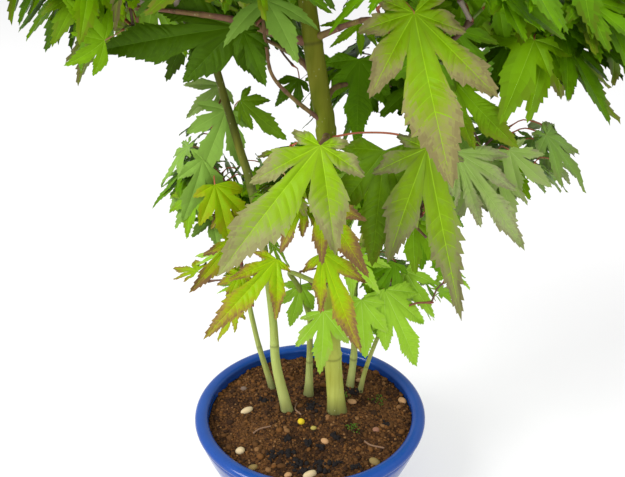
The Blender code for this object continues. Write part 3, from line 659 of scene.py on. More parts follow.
# --------------------------------------------------------- the leaves in front
# The leaves that the photograph shows well: mass, junction, tip of the middle lobe, the other lobes'
# angles (seen from the front, clockwise of the middle one is negative) and lengths as shares of
# its length, half-width (or the side lobes' and the middle one's), how deep the lobes stay joined,
# tone, and how far the margin's colour comes in.
FRONT_LEAVES = {
    "amber_large": ("front_right", (4.5, -6.5, 25.9), (6.3, -9.0, 18.8),
                    [(-128, .26), (-90, .35), (-43, .53), (32, .66), (55, .31), (118, .28)],
                    .163, .30, "amber", 1.05),
    "amber_right": ("front_right", (6.9, -3.5, 22.4), (10.0, -5.5, 19.5),
                    [(-29, .79), (36, .49), (100, .40)], .19, .40, "fresh", 0.9),
    "green_right": ("right_upper", (10.5, -4.0, 24.3), (8.8, -6.0, 20.8),
                    [(-101, .44), (-82, .61), (47, .45), (100, .50)], .19, .38, "fresh", 0.6),
    # The next leaf's pale tone is painted sheen for its glossy highlights.
    "green_top_left": ("front_left", (-2.0, -3.4, 26.0), (-0.5, -5.4, 23.5),
                       [(-125, .44), (-73, .78), (42, .78), (95, .50)], .17, .30, "haze", 0.3),
    "deep_left": ("left_upper", (-3.8, 0.6, 24.1), (-11.1, 0.5, 22.9),
                  [(-24, .63), (36, .56), (107, .44)], .19, .42, "deep", 0.4),
    "blue_green_left": ("front", (0.5, -7.5, 20.3), (-4.1, -10.0, 15.0),
                        [(-78, .20), (-24, .49), (47, .66), (96, .33), (134, .18)],
                        .165, .27, "glauc", 1.0),
    # The next leaf's darker tone is painted shade.
    "blue_green_right": ("front_right_low", (5.6, -5.5, 19.5), (7.5, -8.0, 11.4),
                         [(-125, .19), (-79, .35), (-31, .69), (60, .22), (104, .16)],
                         (.145, .074), .32, "slate", 0.95),
    "behind_right": ("front_right_low", (3.8, -3.5, 18.7), (3.2, -5.5, 13.1),
                     [(-90, .40), (-32, .73), (30, .72), (90, .40)], .17, .40, "moss", 0.6),
    "under_left": ("front", (-0.3, -4.0, 16.0), (-1.5, -5.5, 13.9),
                   [(24, .64), (64, .77)], .17, .36, "flame", 1.0),
    "under_right": ("front", (0.6, -5.0, 16.6), (3.0, -6.5, 13.0),
                    [(-32, .72), (35, .55), (85, .30)], .12, .34, "flame", 1.25),
    "flame_left": ("left_low", (-1.7, -5.0, 13.3), (-5.4, -7.5, 10.0),
                   [(-67, .25), (-24, .50), (43, .57), (90, .18)], .105, .28, "flame", 0.85),
    "flame_far_left": ("left_low", (-4.2, -3.0, 13.5), (-6.5, -4.5, 11.0),
                       [(-24, .50), (38, .47)], .13, .30, "flame", 1.1),
    "flame_centre": ("centre_low", (0.7, -4.0, 13.2), (2.8, -5.5, 7.8),
                     [(-64, .28), (-23, .58), (37, .48), (100, .30)], .105, .30, "flame", 0.95),
    "small_centre": ("centre_low", (-0.6, 1.5, 8.2), (-1.3, 1.0, 5.4),
                     [(-80, .40), (-35, .62), (40, .72), (85, .4)], .20, .36, "lime", 0.5),
    "low_centre": ("centre_low", (0.8, -1.2, 7.9), (0.6, -1.6, 3.6),
                   [(-70, .35), (-35, .66), (38, .70), (80, .35)], .15, .34, "lime", 0.8),
    "pale_right": ("right_low", (4.6, 1.5, 7.9), (6.9, 0.5, 2.7),
                   [(-76, .38), (-46, .54), (-22, .70), (25, .66), (56, .48)], .175, .50, "lime", 0.4),
    "pale_near": ("right_low", (3.2, 1.0, 7.4), (3.5, 0.0, 3.7),
                  [(-94, .30), (-42, .66), (34, .71), (75, .4)], .21, .48, "lime", 0.5),
    "pale_star": ("right_low", (6.1, 3.0, 8.4), (8.1, 2.2, 5.3),
                  [(-76, .32), (-39, .60), (36, .63), (94, .36)], .13, .32, "lime", 0.4),
    "pale_fill": ("right_low", (3.9, 2.4, 9.3), (3.8, 1.8, 6.8),
                  [(-71, .55), (-37, .75), (31, .90), (70, .58)], .19, .44, "fresh", 0.3),
    "green_low_right": ("front_right_low", (6.6, 0.0, 12.6), (8.3, -1.0, 9.6),
                        [(-60, .45), (-30, .66), (34, .62), (70, .4)], .17, .36, "mid", 0.4),
    "grey_right": ("right_mid", (7.6, -2.5, 18.3), (11.4, -4.0, 13.3),
                   [(-78, .32), (-38, .50), (-17, .66), (22, .60), (50, .45)], .115, .32, "dusk", 0.9),
    "grey_far_right": ("right_mid", (10.9, -0.5, 17.7), (13.4, -1.0, 15.7),
                       [(-120, .43), (-34, .90), (34, .6), (79, .33)], .16, .32, "dusk", 0.5),
    "shade_left_1": ("left_mid", (-4.8, 2.6, 19.1), (-6.5, 1.6, 15.2),
                     [(-80, .40), (-38, .62), (36, .80), (80, .45)], .18, .32, "haze", 0.3),
    "shade_left_2": ("left_mid", (-6.2, 1.6, 16.4), (-7.5, 0.6, 12.9),
                     [(-118, .25), (-38, .47), (46, .77)], .19, .34, "haze", 0.3),
    "shade_left_3": ("left_mid", (-4.0, 2.8, 19.6), (-1.3, 1.8, 17.5),
                     [(-66, .49), (-28, .53), (40, .5), (95, .29)], .17, .36, "moss", 0.3),
    "left_fill": ("left_mid", (-5.5, 1.0, 15.1), (-4.6, -0.3, 11.5),
                  [(-75, .38), (-36, .66), (32, .79), (66, .50)], .19, .46, "flame", 0.35),
    "left_fill_back": ("left_mid", (-4.7, 2.4, 14.8), (-4.2, 1.8, 13.0),
                       [(-72, .57), (-35, .85), (35, .81)], .20, .40, "mid", 0.3),
    "yellow_left": ("left_mid", (-4.4, 1.8, 14.4), (-5.9, 0.8, 12.3),
                    [(-30, .45), (38, .9)], .15, .32, "flame", 0.8),
    "shade_right": ("back", (2.8, 3.0, 21.9), (2.7, 2.0, 17.2),
                    [(-85, .45), (-36, .60), (37, .72), (85, .45)], .18, .44, "mid", 0.3),
    "young_by_trunk": ("front_right", (2.6, 0.6, 24.3), (2.7, 0.2, 22.6),
                       [(-96, 1.09), (-55, 1.07), (41, 1.0)], .11, .26, "fresh", 0.3),
    "hanging_left": ("front_left", (-3.15, -3.2, 24.56), (-2.09, -3.9, 22.05),
                     [(-40, .45), (36, .5), (80, .3)], .19, .34, "deep", 0.4),
    "small_by_trunk": ("back_left", (-0.6, 2.6, 20.9), (-2.0, 2.1, 19.4),
                       [(-45, .7), (40, .8), (80, .45)], .19, .34, "deep", 0.4),
    "far_left": ("left_mid", (-5.4, 6.0, 19.7), (-7.7, 5.5, 17.7),
                 [(-44, .8), (36, .8), (80, .45)], .14, .26, "dusk", 0.3),
    "low_right_1": ("centre_low", (2.6, 1.0, 10.5), (4.9, 0.3, 10.0),
                    [(-80, 1.0), (-38, 1.1), (42, .6), (80, .45)], .17, .34, "lime", 0.6),
    "low_right_2": ("right_low", (5.3, 2.2, 9.4), (3.9, 1.5, 7.1),
                    [(-59, .5), (-30, .7), (38, .86), (80, .45)], .17, .34, "mid", 0.4),
    "low_right_3": ("front_right_low", (5.6, -2.6, 14.4), (7.9, -3.4, 11.6),
                    [(-80, .4), (-36, .85), (34, .66)], .17, .34, "fresh", 0.5),
    "lime_edge": ("left_upper", (-10.1, -2.0, 23.9), (-11.7, -2.7, 26.1),
                  [(-60, .6), (35, .6), (86, .80), (126, .70)], .18, .36, "fresh", 0.3),
}
# Where a leaf's stalk is seen to leave its twig, and the way of a long stalk that leaves the trunk.
STALK_FROM = {"amber_large": (3.18, -3.4, 25.6)}
STALK_ROUTES = {"blue_green_right": [(1.15, 0.2, 18.2), (2.6, -1.8, 19.1), (4.37, -4.0, 19.7)]}

# Each mass, packed as foliage_NAME: the limb it grows on, tones and their shares, leaves aimed at
# besides those above, and their length range.
GREEN = {"mid": 0.36, "fresh": 0.26, "moss": 0.14, "deep": 0.10, "amber": 0.14}
SUNNY = {"mid": 0.26, "fresh": 0.28, "amber": 0.28, "glauc": 0.12, "moss": 0.06}
SHADY = {"mid": 0.44, "deep": 0.20, "moss": 0.18, "fresh": 0.18}
MASSES = {
    "left_low": ("bough_left_low", {"flame": 0.7, "lime": 0.3}, 14, (2.2, 3.4)),
    "centre_low": ("centre_stem", {"flame": 0.4, "lime": 0.6}, 12, (2.0, 3.0)),
    "right_low": ("right_side_stem", {"lime": 0.8, "haze": 0.2}, 18, (2.6, 4.0)),
    "left_mid": ("left_back_stem", {"mid": 0.3, "haze": 0.4, "moss": 0.1, "fresh": 0.2}, 30, (2.8, 4.4)),
    "front": ("bough_front", {"mid": 0.5, "amber": 0.3, "flame": 0.2}, 22, (2.4, 3.6)),
    "front_right_low": ("bough_front_right_low", {"mid": 0.7, "moss": 0.3}, 20, (2.4, 3.6)),
    "front_right": ("bough_front_right", {"mid": 0.6, "fresh": 0.2, "amber": 0.2}, 22, (3.6, 5.2)),
    "right_mid": ("right_back_stem", {"haze": 0.45, "dusk": 0.25, "fresh": 0.3}, 28, (3.2, 4.8)),
    "right_upper": ("bough_right", GREEN, 38, (3.8, 5.8)),
    "back": ("bough_back", SHADY, 34, (3.8, 5.6)),
    "back_low": ("bough_back_low", {"fresh": 0.6, "lime": 0.4}, 28, (3.4, 5.0)),
    "left_upper": ("left_stem", GREEN, 40, (4.0, 6.0)),
    "front_left": ("bough_front_left", GREEN, 34, (3.8, 5.6)),
    "back_left": ("bough_back_left", SHADY, 38, (4.0, 6.0)),
    "back_right": ("bough_back_right", GREEN, 40, (4.0, 6.0)),
    "top_left": ("bough_top_left", SUNNY, 44, (4.0, 6.2)),
    "top_right": ("bough_top_right", SUNNY, 44, (4.0, 6.2)),
    "top_front": ("bough_top_front", SUNNY, 42, (4.0, 6.2)),
    "top_back": ("bough_top_back", GREEN, 42, (4.0, 6.2)),
    "crown_top": ("main_trunk", SUNNY, 50, (4.0, 6.2)),
}

# Openings where the photograph shows the background: (x, z, radius) at the trunk's distance.
SKY_GAPS = [
    (-3.7, 22.5, 0.5), (-2.8, 21.8, 0.45), (-4.1, 21.1, 0.45), (-1.0, 22.1, 0.65), (-1.4, 21.2, 0.55),
    (-0.5, 20.8, 0.3), (-3.3, 18.4, 0.8), (-1.9, 18.6, 0.45), (-1.1, 19.4, 0.75), (1.1, 24.2, 0.4),
    (1.9, 23.6, 0.45), (1.6, 19.0, 0.45), (1.9, 18.5, 0.35), (3.9, 17.9, 0.45), (4.4, 20.3, 0.3),
    (-5.3, 17.5, 0.2), (-4.0, 16.8, 0.3), (-3.1, 15.5, 0.2), (-2.9, 10.7, 0.3), (-0.6, 10.4, 0.6),
    (-2.9, 8.1, 0.5), (-1.5, 9.1, 0.3), (2.8, 12.0, 0.35), (6.0, 11.0, 0.5), (-6.6, 20.6, 1.0),
    (-8.3, 19.2, 1.3), (-9.4, 16.5, 1.4), (-8.0, 7.8, 1.0), (-7.0, 7.7, 0.9), (-6.5, 5.9, 0.8),
    (10.3, 11.4, 1.5), (11.7, 10.3, 1.3), (14.0, 13.2, 1.4),
]
SKY_PLANE_Y, SKY_MARGIN = 0.4, 0.12
# Limbs that show in the photograph, up to the height given: no grown leaf hides them.
SHOWN_LIMBS = {"main_trunk": 26.0, "left_stem": 20.4, "left_back_stem": 7.0, "centre_stem": 6.5,
               "right_back_stem": 5.0, "right_side_stem": 4.5, "bough_left": 24.5}

# What lies on the soil: x, y, half sizes, turn in degrees, colour.
SOIL_FINDS = [
    (-4.2, 0.3, (0.42, 0.24, 0.20), 35, "grit_cream"), (-4.3, -3.5, (0.30, 0.28, 0.24), 10, "grit_cream"),
    (2.8, 1.1, (0.30, 0.22, 0.18), -10, "grit_tan"), (0.9, -2.7, (0.27, 0.22, 0.18), -30, "grit_tan"),
    (3.9, -4.4, (0.34, 0.26, 0.20), -40, "grit_olive"), (6.2, 1.3, (0.34, 0.24, 0.20), -55, "grit_tan"),
    (6.05, 3.6, (0.26, 0.20, 0.18), 60, "grit_tan"), (0.0, -5.6, (0.48, 0.28, 0.24), 35, "grit_cream"),
    (4.2, -1.6, (0.22, 0.18, 0.15), 0, "grit_rose"), (-4.6, 2.9, (0.22, 0.18, 0.14), 0, "grit_grey"),
    (3.4, 3.6, (0.22, 0.17, 0.15), 20, "grit_tan"), (2.2, 3.9, (0.18, 0.16, 0.2), 20, "grit_rose"),
    (-3.4, -5.0, (0.30, 0.20, 0.14), 20, "grit_olive"), (-1.3, -5.7, (0.25, 0.2, 0.15), 20, "grit_tan"),
    (-0.6, -1.0, (0.23, 0.22, 0.21), 0, "pellet_yellow"),
    (0.2, -1.5, (0.20, 0.16, 0.14), 0, "pellet_dull"),
]
# Heaps of char: x, y and half sizes.
CHAR_HEAPS = [
    (4.9, -1.1, (0.24, 0.19, 0.13)), (1.6, -2.4, (0.26, 0.2, 0.12)), (-2.3, -4.2, (0.40, 0.30, 0.16)),
    (-1.2, -3.8, (0.5, 0.2, 0.12)), (-0.7, -4.7, (0.55, 0.30, 0.14)), (0.6, -4.5, (0.45, 0.22, 0.12)),
    (1.5, -4.7, (0.5, 0.16, 0.1)), (2.7, -4.9, (0.4, 0.14, 0.1)), (-1.4, -2.6, (0.22, 0.2, 0.1)),
    (-0.1, -2.9, (0.2, 0.3, 0.12)), (0.7, -3.2, (0.25, 0.2, 0.1)), (-3.0, 1.4, (0.4, 0.25, 0.1)),
    (-0.4, -5.3, (0.6, 0.3, 0.12)), (0.5, -5.2, (0.4, 0.2, 0.12)), (0.3, 0.6, (0.5, 0.5, 0.1)),
    (2.9, 2.2, (0.5, 0.3, 0.1)),
]
MOSS_TUFTS = ((4.6, 1.5, 0.28), (2.7, -1.4, 0.22), (2.2, 1.8, 0.3))
ROOTLETS = (((-0.9, 1.1), (-0.6, -0.3)), ((-3.6, -2.0), (-2.5, -1.4)), ((3.4, -2.6), (4.6, -3.3)))
SOIL_COLOURS = {
    "crumb_dark": (0.030, 0.013, 0.005), "crumb_brown": (0.088, 0.038, 0.010),
    "crumb_warm": (0.140, 0.058, 0.014), "crumb_pale": (0.20, 0.10, 0.036),
    "grit_cream": (0.58, 0.46, 0.27), "grit_tan": (0.45, 0.26, 0.12), "grit_olive": (0.24, 0.17, 0.06),
    "grit_rose": (0.27, 0.13, 0.08), "grit_grey": (0.17, 0.12, 0.09), "pellet_yellow": (0.62, 0.46, 0.02),
    "pellet_dull": (0.36, 0.30, 0.07), "char": (0.011, 0.009, 0.009), "moss": (0.06, 0.12, 0.01),
    "rootlet": (0.22, 0.13, 0.08),
}
TWIG_COLOURS = {
    "twig_green": (0.13, 0.19, 0.035), "twig_red": (0.24, 0.085, 0.045), "twig_brown": (0.12, 0.062, 0.038),
    "twig_grey": (0.30, 0.24, 0.19), "stalk_red": (0.46, 0.13, 0.065), "stalk_green": (0.26, 0.36, 0.05),
    "stalk_rose": (0.40, 0.23, 0.10), "bud_red": (0.22, 0.04, 0.02),
}


# ----------------------------------------------------------------- materials
def plain(name, colour, roughness, specular=0.5):
    """A finish whose colour is the same all over the faces it is dealt to."""
    material = bpy.data.materials.new(name)
    material.use_nodes = True
    shader = material.node_tree.nodes["Principled BSDF"]
    shader.inputs["Base Color"].default_value = (*colour, 1)
    shader.inputs["Roughness"].default_value = roughness
    shader.inputs["Specular IOR Level"].default_value = specular
    return material


class Nodes:
    """Short calls for building a node material."""

    def __init__(self, material):
        self.tree = material.node_tree
        self.shader = self.tree.nodes["Principled BSDF"]
        self.place = self.tree.nodes.new("ShaderNodeTexCoord").outputs["Object"]

    def fill(self, socket, value):
        """Links a socket to another, or sets it to a number, a vector or a colour."""
        if isinstance(value, bpy.types.NodeSocket):
            self.tree.links.new(value, socket)
        elif socket.type == "RGBA":
            socket.default_value = (*value, 1)
        else:
            socket.default_value = value

    def make(self, kind, inputs, **settings):
        node = self.tree.nodes.new(kind)
        for key, value in settings.items():
            setattr(node, key, value)
        for key, value in inputs.items():
            self.fill(node.inputs[key], value)
        return node

    def stretched(self, scale):
        return self.make("ShaderNodeMapping", {"Vector": self.place, "Scale": scale}).outputs[0]

    def noise(self, scale, detail=4, vector=None):
        inputs = {"Vector": vector or self.place, "Scale": scale, "Detail": detail}
        return self.make("ShaderNodeTexNoise", inputs).outputs[0]

    def cells(self, scale, vector=None):
        inputs = {"Vector": vector or self.place, "Scale": scale}
        return self.make("ShaderNodeTexVoronoi", inputs).outputs["Distance"]

    def ramp(self, value, stops):
        """Colours, or grey levels given as plain numbers, at their places along a value."""
        node = self.make("ShaderNodeValToRGB", {"Fac": value})
        while len(node.color_ramp.elements) < len(stops):
            node.color_ramp.elements.new(0.5)
        for element, (at, colour) in zip(node.color_ramp.elements, stops):
            element.position = at
            element.color = (*colour, 1) if isinstance(colour, tuple) else (colour, colour, colour, 1)
        return node.outputs[0]

    def mix(self, share, first, second, blend="MIX"):
        node = self.tree.nodes.new("ShaderNodeMix")
        node.data_type, node.blend_type = "RGBA", blend
        for socket, value in zip((node.inputs[0], node.inputs[6], node.inputs[7]), (share, first, second)):
            self.fill(socket, value)
        return node.outputs[2]

    def height(self, lowest, highest):
        """0 to 1 from the lowest to the highest height, in metres."""
        z = self.make("ShaderNodeSeparateXYZ", {"Vector": self.place}).outputs[2]
        span = {"Value": z, "From Min": lowest, "From Max": highest}
        return self.make("ShaderNodeMapRange", span).outputs[0]

    def finish(self, colour, roughness, bump, strength, depth):
        self.fill(self.shader.inputs["Base Color"], colour)
        if roughness is not None:
            self.fill(self.shader.inputs["Roughness"], roughness)
        node = self.make("ShaderNodeBump", {"Height": bump, "Strength": strength, "Distance": depth})
        self.fill(self.shader.inputs["Normal"], node.outputs[0])


def glaze_material():
    """Glossy royal blue, paler towards the rim."""
    material = plain("blue_glaze", (0.012, 0.075, 0.36), 0.14, 0.3)
    n = Nodes(material)
    flow = n.noise(1.0, 5, n.stretched((38, 38, 12)))
    body = n.ramp(flow, [(0.25, (0.006, 0.034, 0.19)), (0.50, (0.008, 0.048, 0.25)),
                         (0.80, (0.012, 0.066, 0.31))])
    specks = n.ramp(n.cells(520), [(0.0, (0.004, 0.02, 0.10)), (0.10, (0.004, 0.02, 0.10)),
                                   (0.16, (1, 1, 1))])
    body = n.mix(0.35, body, specks, "MULTIPLY")
    near_rim = n.ramp(n.height(0.0560, 0.0642), [(0.0, 0.0), (0.45, 0.08), (0.80, 0.20), (1.0, 0.30)])
    colour = n.mix(near_rim, body, (0.024, 0.112, 0.42))
    rough = n.ramp(n.noise(60, 3), [(0.3, 0.10), (0.7, 0.20)])
    n.finish(colour, rough, n.noise(140, 3), 0.12, 0.0006)
    return material


def soil_material():
    """Brown grains, darker where the bed is damp."""
    material = plain("soil_bed_mix", (0.07, 0.03, 0.013), 0.95, 0.2)
    n = Nodes(material)
    grain = n.ramp(n.noise(620, 6), [(0.30, (0.020, 0.009, 0.004)), (0.45, (0.078, 0.032, 0.009)),
                                     (0.58, (0.130, 0.055, 0.015)), (0.72, (0.22, 0.115, 0.042))])
    damp = n.ramp(n.noise(48, 4), [(0.35, (0.35, 0.33, 0.33)), (0.52, (0.85, 0.82, 0.8)),
                                   (0.62, (1, 1, 1))])
    n.finish(n.mix(1.0, grain, damp, "MULTIPLY"), None, n.noise(900, 6), 0.8, 0.002)
    return material


# Each bark: colours at the foot, low down, in the middle and at the top, the heights in metres that
# they run over, and the colour of the streaks along it. On the stems the dark foot colour is painted
# shade where they meet the soil.
BARKS = {
    "bark_green": ((0.10, 0.10, 0.035), (0.46, 0.50, 0.11), (0.30, 0.36, 0.035), (0.115, 0.135, 0.003),
                   (0.057, 0.36), (0.62, 0.60, 0.36)),
    "bark_pale": ((0.16, 0.17, 0.07), (0.42, 0.47, 0.15), (0.30, 0.38, 0.08), (0.055, 0.065, 0.006),
                  (0.057, 0.30), (0.70, 0.70, 0.55)),
    "bark_brown": ((0.16, 0.09, 0.06), (0.18, 0.10, 0.065), (0.20, 0.11, 0.075), (0.22, 0.10, 0.06),
                   (0.15, 0.45), (0.55, 0.48, 0.42)),
}


def bark_material(name):
    """Smooth young bark: colours that change up the limb, with painted shade at a stem's foot by the soil,
    streaks along it, pale flecks and pores.
    """
    foot, low, middle, top, span, streak = BARKS[name]
    material = plain(name, middle, 0.55, 0.12)
    n = Nodes(material)
    # On the stems the dark foot colour at the soil is painted shade.
    base = n.ramp(n.height(*span), [(0.0, foot), (0.05, low), (0.30, middle), (0.75, top)])
    long_grain = n.noise(1.0, 5, n.stretched((420, 420, 26)))
    streaks = n.ramp(long_grain, [(0.30, streak), (0.50, (1, 1, 1)), (0.72, (1, 1, 1))])
    colour = n.mix(0.48, base, streaks, "MULTIPLY")
    patches = n.ramp(n.noise(1.0, 3, n.stretched((90, 90, 30))), [(0.45, 0), (0.70, 0.45)])
    colour = n.mix(patches, colour, (0.29, 0.28, 0.03))
    flecks = n.ramp(n.cells(1.0, n.stretched((430, 430, 210))), [(0.0, 0.65), (0.09, 0.5), (0.14, 0)])
    colour = n.mix(flecks, colour, (0.50, 0.52, 0.30))
    joint = n.make("ShaderNodeAttribute", {}, attribute_name="joint").outputs["Fac"]
    colour = n.mix(n.ramp(joint, [(0.0, 0), (1.0, 0.48)]), colour, (0.035, 0.022, 0.012))
    rough = n.ramp(long_grain, [(0.3, 0.66), (0.7, 0.46)])
    n.finish(colour, rough, n.noise(1.0, 6, n.stretched((1100, 1100, 160))), 0.35, 0.0008)
    return material


def make_library():
    """Every plain finish by name."""
    finishes = {}
    for tone, (steps, keys, rib) in TONES.items():
        keys, rib = np.array(keys), np.array(rib)
        for i in range(steps):
            at = i * (len(keys) - 1) / (steps - 1)
            low = min(int(at), len(keys) - 2)
            colour = keys[low] * (low + 1 - at) + keys[low + 1] * (at - low)
            finishes[f"leaf_{tone}_{i + 1}"] = (colour, 0.46, 0.09)
        finishes[f"leaf_{tone}_rib"] = (rib, 0.5, 0.10)
        vein = (1 - VEIN_RIB_SHARE) * keys[0] + VEIN_RIB_SHARE * rib
        finishes[f"leaf_{tone}_vein"] = (vein, 0.5, 0.10)
    finishes.update({name: (colour, 0.9, 0.2) for name, colour in SOIL_COLOURS.items()})
    finishes.update({name: (colour, 0.5, 0.35) for name, colour in TWIG_COLOURS.items()})
    return {name: plain(name, *finish) for name, finish in finishes.items()}


# ----------------------------------------------------------------------- pot
POT_SIDES = 160
INNER_CORNER_AT, INNER_CORNER_RADIUS, INNER_CORNER_HEIGHT = 0.62, 0.6, 0.75
INNER_CORNER_FROM_DEG, FLAT_FLOOR_SHORT = -80, 0.8
LIP_FROM_DEG, LIP_TO_DEG, UNDER_LIP = 192, -66, 0.8
GLAZE_INSET, SHOULDER, FOOT_FILLET = 0.012, 0.78, 0.16
# The foot from the bowl's lower edge to its recessed underside: (out from its radius, up from the table).
FOOT_RING = [(0.10, FOOT_HEIGHT + 0.03), (0.01, FOOT_HEIGHT - 0.03), (0.0, 0.16), (-0.03, 0.05),
             (-0.10, 0.0), (-0.55, 0.0), (-0.62, 0.06), (-1.0, 0.08)]
RECESS, RECESS_MIDDLE_RADIUS = 0.08, DRAIN_CIRCLE - 1.4
DRAIN_FLARE, BORE_LENGTH, DRAIN_START = 0.06, 3, 0.25
# The wall's wobble: its size, waves round the pot, turn with height (radians a centimetre) and start.
# It fades out towards the foot; above that the bowl is drawn in a little.
WOBBLES = ((0.018, 2, 0, 0.6), (0.010, 5, 2, 0), (0.006, 0, 9, 0))
WOBBLE_FADE, DRAWN_IN = 1.5, 0.02
SHARP_ABOVE_DEG = 42


def bowl_radius(depth):
    return BOWL_EDGE_RADIUS - BOWL_SLOPE * depth - BOWL_CURVE * depth**2


def pot_profile():
    """(radius, height) from the middle of the inside floor, over the lip and under the foot."""
    floor = POT_HEIGHT - FLOOR_THICKNESS
    inside = bowl_radius(floor) - WALL
    points = [(0.0, -floor), (inside * 0.5, -floor), (inside - FLAT_FLOOR_SHORT, -floor)]
    for angle in np.radians(np.linspace(INNER_CORNER_FROM_DEG, 0, 7)):
        points.append((inside - INNER_CORNER_AT + INNER_CORNER_RADIUS * math.cos(angle),
                       INNER_CORNER_AT - floor + INNER_CORNER_RADIUS * math.sin(angle)))
    depths = np.linspace(floor - INNER_CORNER_HEIGHT, UNDER_LIP, 14)
    points += [(bowl_radius(d) - WALL, -d) for d in depths]
    for angle in np.radians(np.linspace(LIP_FROM_DEG, LIP_TO_DEG, 26)):
        points.append((RIM_RADIUS - LIP_HALF_WIDTH + LIP_HALF_WIDTH * math.cos(angle),
                       LIP_HALF_HEIGHT * (math.sin(angle) - 1)))
    depths = np.linspace(SHOULDER, POT_HEIGHT - FOOT_HEIGHT - FOOT_FILLET, 22)
    points += [(bowl_radius(d) - GLAZE_INSET, -d) for d in depths]
    points += [(FOOT_RADIUS + out, up - POT_HEIGHT) for out, up in FOOT_RING]
    points += [(RECESS_MIDDLE_RADIUS, RECESS - POT_HEIGHT), (0.0, RECESS - POT_HEIGHT)]
    return np.array(points)


def turned(profile, sides, shaped):
    """(points, faces) of a profile turned about the pot's axis; its ends lie on the axis.

    shaped(turns, radius, height) gives the radius and height that each point ends up with."""
    turn = 2 * np.pi * np.arange(sides) / sides
    radius = np.repeat(profile[1:-1, :1], sides, 1)
    height = np.repeat(profile[1:-1, 1:], sides, 1)
    radius, height = shaped(turn[None], radius, height)
    ring = np.stack([radius * np.cos(turn), radius * np.sin(turn), height], -1)
    quads, caps = ring_faces(len(radius), sides)
    ends = [(0, 0, profile[0, 1]), (0, 0, profile[-1, 1])]
    return np.vstack([ring.reshape(-1, 3), ends]), [quads[:, ::-1], caps[:, ::-1]]


def hand_thrown(turn, radius, height):
    """A wobble of a few tenths of a millimetre, as a glazed pot has."""
    sway = sum(size * np.sin(waves * turn + rise * height + start) for size, waves, rise, start in WOBBLES)
    free = smoothstep(-POT_HEIGHT, -POT_HEIGHT + WOBBLE_FADE, height)
    return radius - DRAWN_IN * free + sway * free, height


def bore(piece, name, places, lower_radius, upper_radius, depth):
    """Cuts an upright round hole through the piece at each (x, y, z), all in metres."""
    bm = bmesh.new()
    bmesh.ops.create_cone(bm, cap_ends=True, segments=40, radius1=lower_radius, radius2=upper_radius,
                          depth=depth)
    mesh = mesh_of(bm, name)
    cutters = [link(name, mesh) for _ in places]
    for cutter, place in zip(cutters, places):
        cutter.location = place
        cut = piece.modifiers.new(name, "BOOLEAN")
        cut.operation, cut.solver, cut.object = "DIFFERENCE", "EXACT", cutter
    graph = bpy.context.evaluated_depsgraph_get()
    bored = bpy.data.meshes.new_from_object(piece.evaluated_get(graph))
    piece.modifiers.clear()
    piece.data = bored
    for cutter in cutters:
        bpy.data.objects.remove(cutter)


def make_pot():
    """The glazed bowl on its foot, with its drain holes."""
    points, faces = turned(pot_profile(), POT_SIDES, hand_thrown)
    pot = new_piece("pot_glazed", points, faces, [glaze_material()])
    turns = [2 * math.pi * (i + DRAIN_START) / DRAINS for i in range(DRAINS)]
    places = [(DRAIN_CIRCLE * CM * math.cos(t), DRAIN_CIRCLE * CM * math.sin(t), 0) for t in turns]
    bore(pot, "drain", places, (DRAIN_RADIUS + DRAIN_FLARE) * CM, DRAIN_RADIUS * CM, BORE_LENGTH * CM)
    pot.data.set_sharp_from_angle(angle=math.radians(SHARP_ABOVE_DEG))
    settle(pot, "pot_glaze", "pot")


# ---------------------------------------------------------------------- soil
SOIL_TOP = -SOIL_DEPTH
BED_SIDES, BED_RINGS = 200, 76
BED_GAP, BED_EDGE_DEPTH, BED_CORNER = 0.06, 0.9, 0.75
BED_EDGE_GAP, BED_FLOOR_GAP, BED_SIDE_TOP, BED_MIDDLE, TOP_WITHIN = 0.05, 0.04, 1.1, 0.006, 0.01
# The bed's top has lumps, a mound by the trunk and a dip all round its edge.
LUMP_HEIGHT, BED_WAVES = 0.075, (0.9, 7.0, 30)
MOUND_AT, MOUND_HEIGHT, MOUND_SPREAD = (1.2, 0.6), 0.10, 3.0
EDGE_DIP, EDGE_FROM, EDGE_TO = 0.10, 5.2, 6.7
CRUMBS, CRUMB_SPREAD, LARGE_EVERY = 3300, 6.62, 12
SMALL_CRUMB, LARGE_CRUMB = (0.05, 0.12), (0.12, 0.21)
CRUMB_SHARES = {"crumb_dark": 0.20, "crumb_brown": 0.44, "crumb_warm": 0.27, "crumb_pale": 0.09}
# Two damp places, where more crumbs are dark: x, y and how far they reach.
DAMP = ((0.2, 1.2, 5), (-0.2, -4.3, 4))
DAMP_DARKER = 0.9
# How uneven lumps are, as a share of their size, and how far a lump may be tipped.
CRUMB_ROUGH, GRIT_ROUGH, LOOSE_ROUGH, TIPPED, LUMP_WAVES = 0.16, 0.07, 0.2, 0.25, (1.4, 4.5, 6)
# How high lumps' middles lie above the bed: crumbs and finds by a share of their size, others in cm.
CRUMB_RAISED, FIND_RAISED, CHAR_RAISED, MOSS_RAISED, ROOTLET_RAISED = 0.15, 0.35, 0.03, 0.05, 0.09
# Half-sizes as shares of the size, lowest and highest.
CRUMB_HALVES, CRUMB_FLATNESS, CHAR_HALVES = (0.7, 1.2), (1, 1, 0.75), (0.6, 1.3)
CHAR_LUMPS, CHAR_SPREAD, CHAR_SIZES = 14, 0.55, (0.07, 0.15)
MOSS_LUMPS, MOSS_SIZES = 40, (0.03, 0.07)
ROOTLET_RADIUS, ROOTLET_BEND, ROOTLET_STEP, ROOTLET_SIDES = 0.055, 0.25, 0.12, 6


def soil_height(x, y, waves):
    """The height of the bed's lumpy top."""
    edge = smoothstep(EDGE_FROM, EDGE_TO, np.hypot(x, y))
    away = (x - MOUND_AT[0]) ** 2 + (y - MOUND_AT[1]) ** 2
    mound = MOUND_HEIGHT * np.exp(-away / MOUND_SPREAD)
    lumps = LUMP_HEIGHT * waves(np.stack([x, y, np.zeros_like(x)], -1))
    return SOIL_TOP + lumps + mound - EDGE_DIP * edge


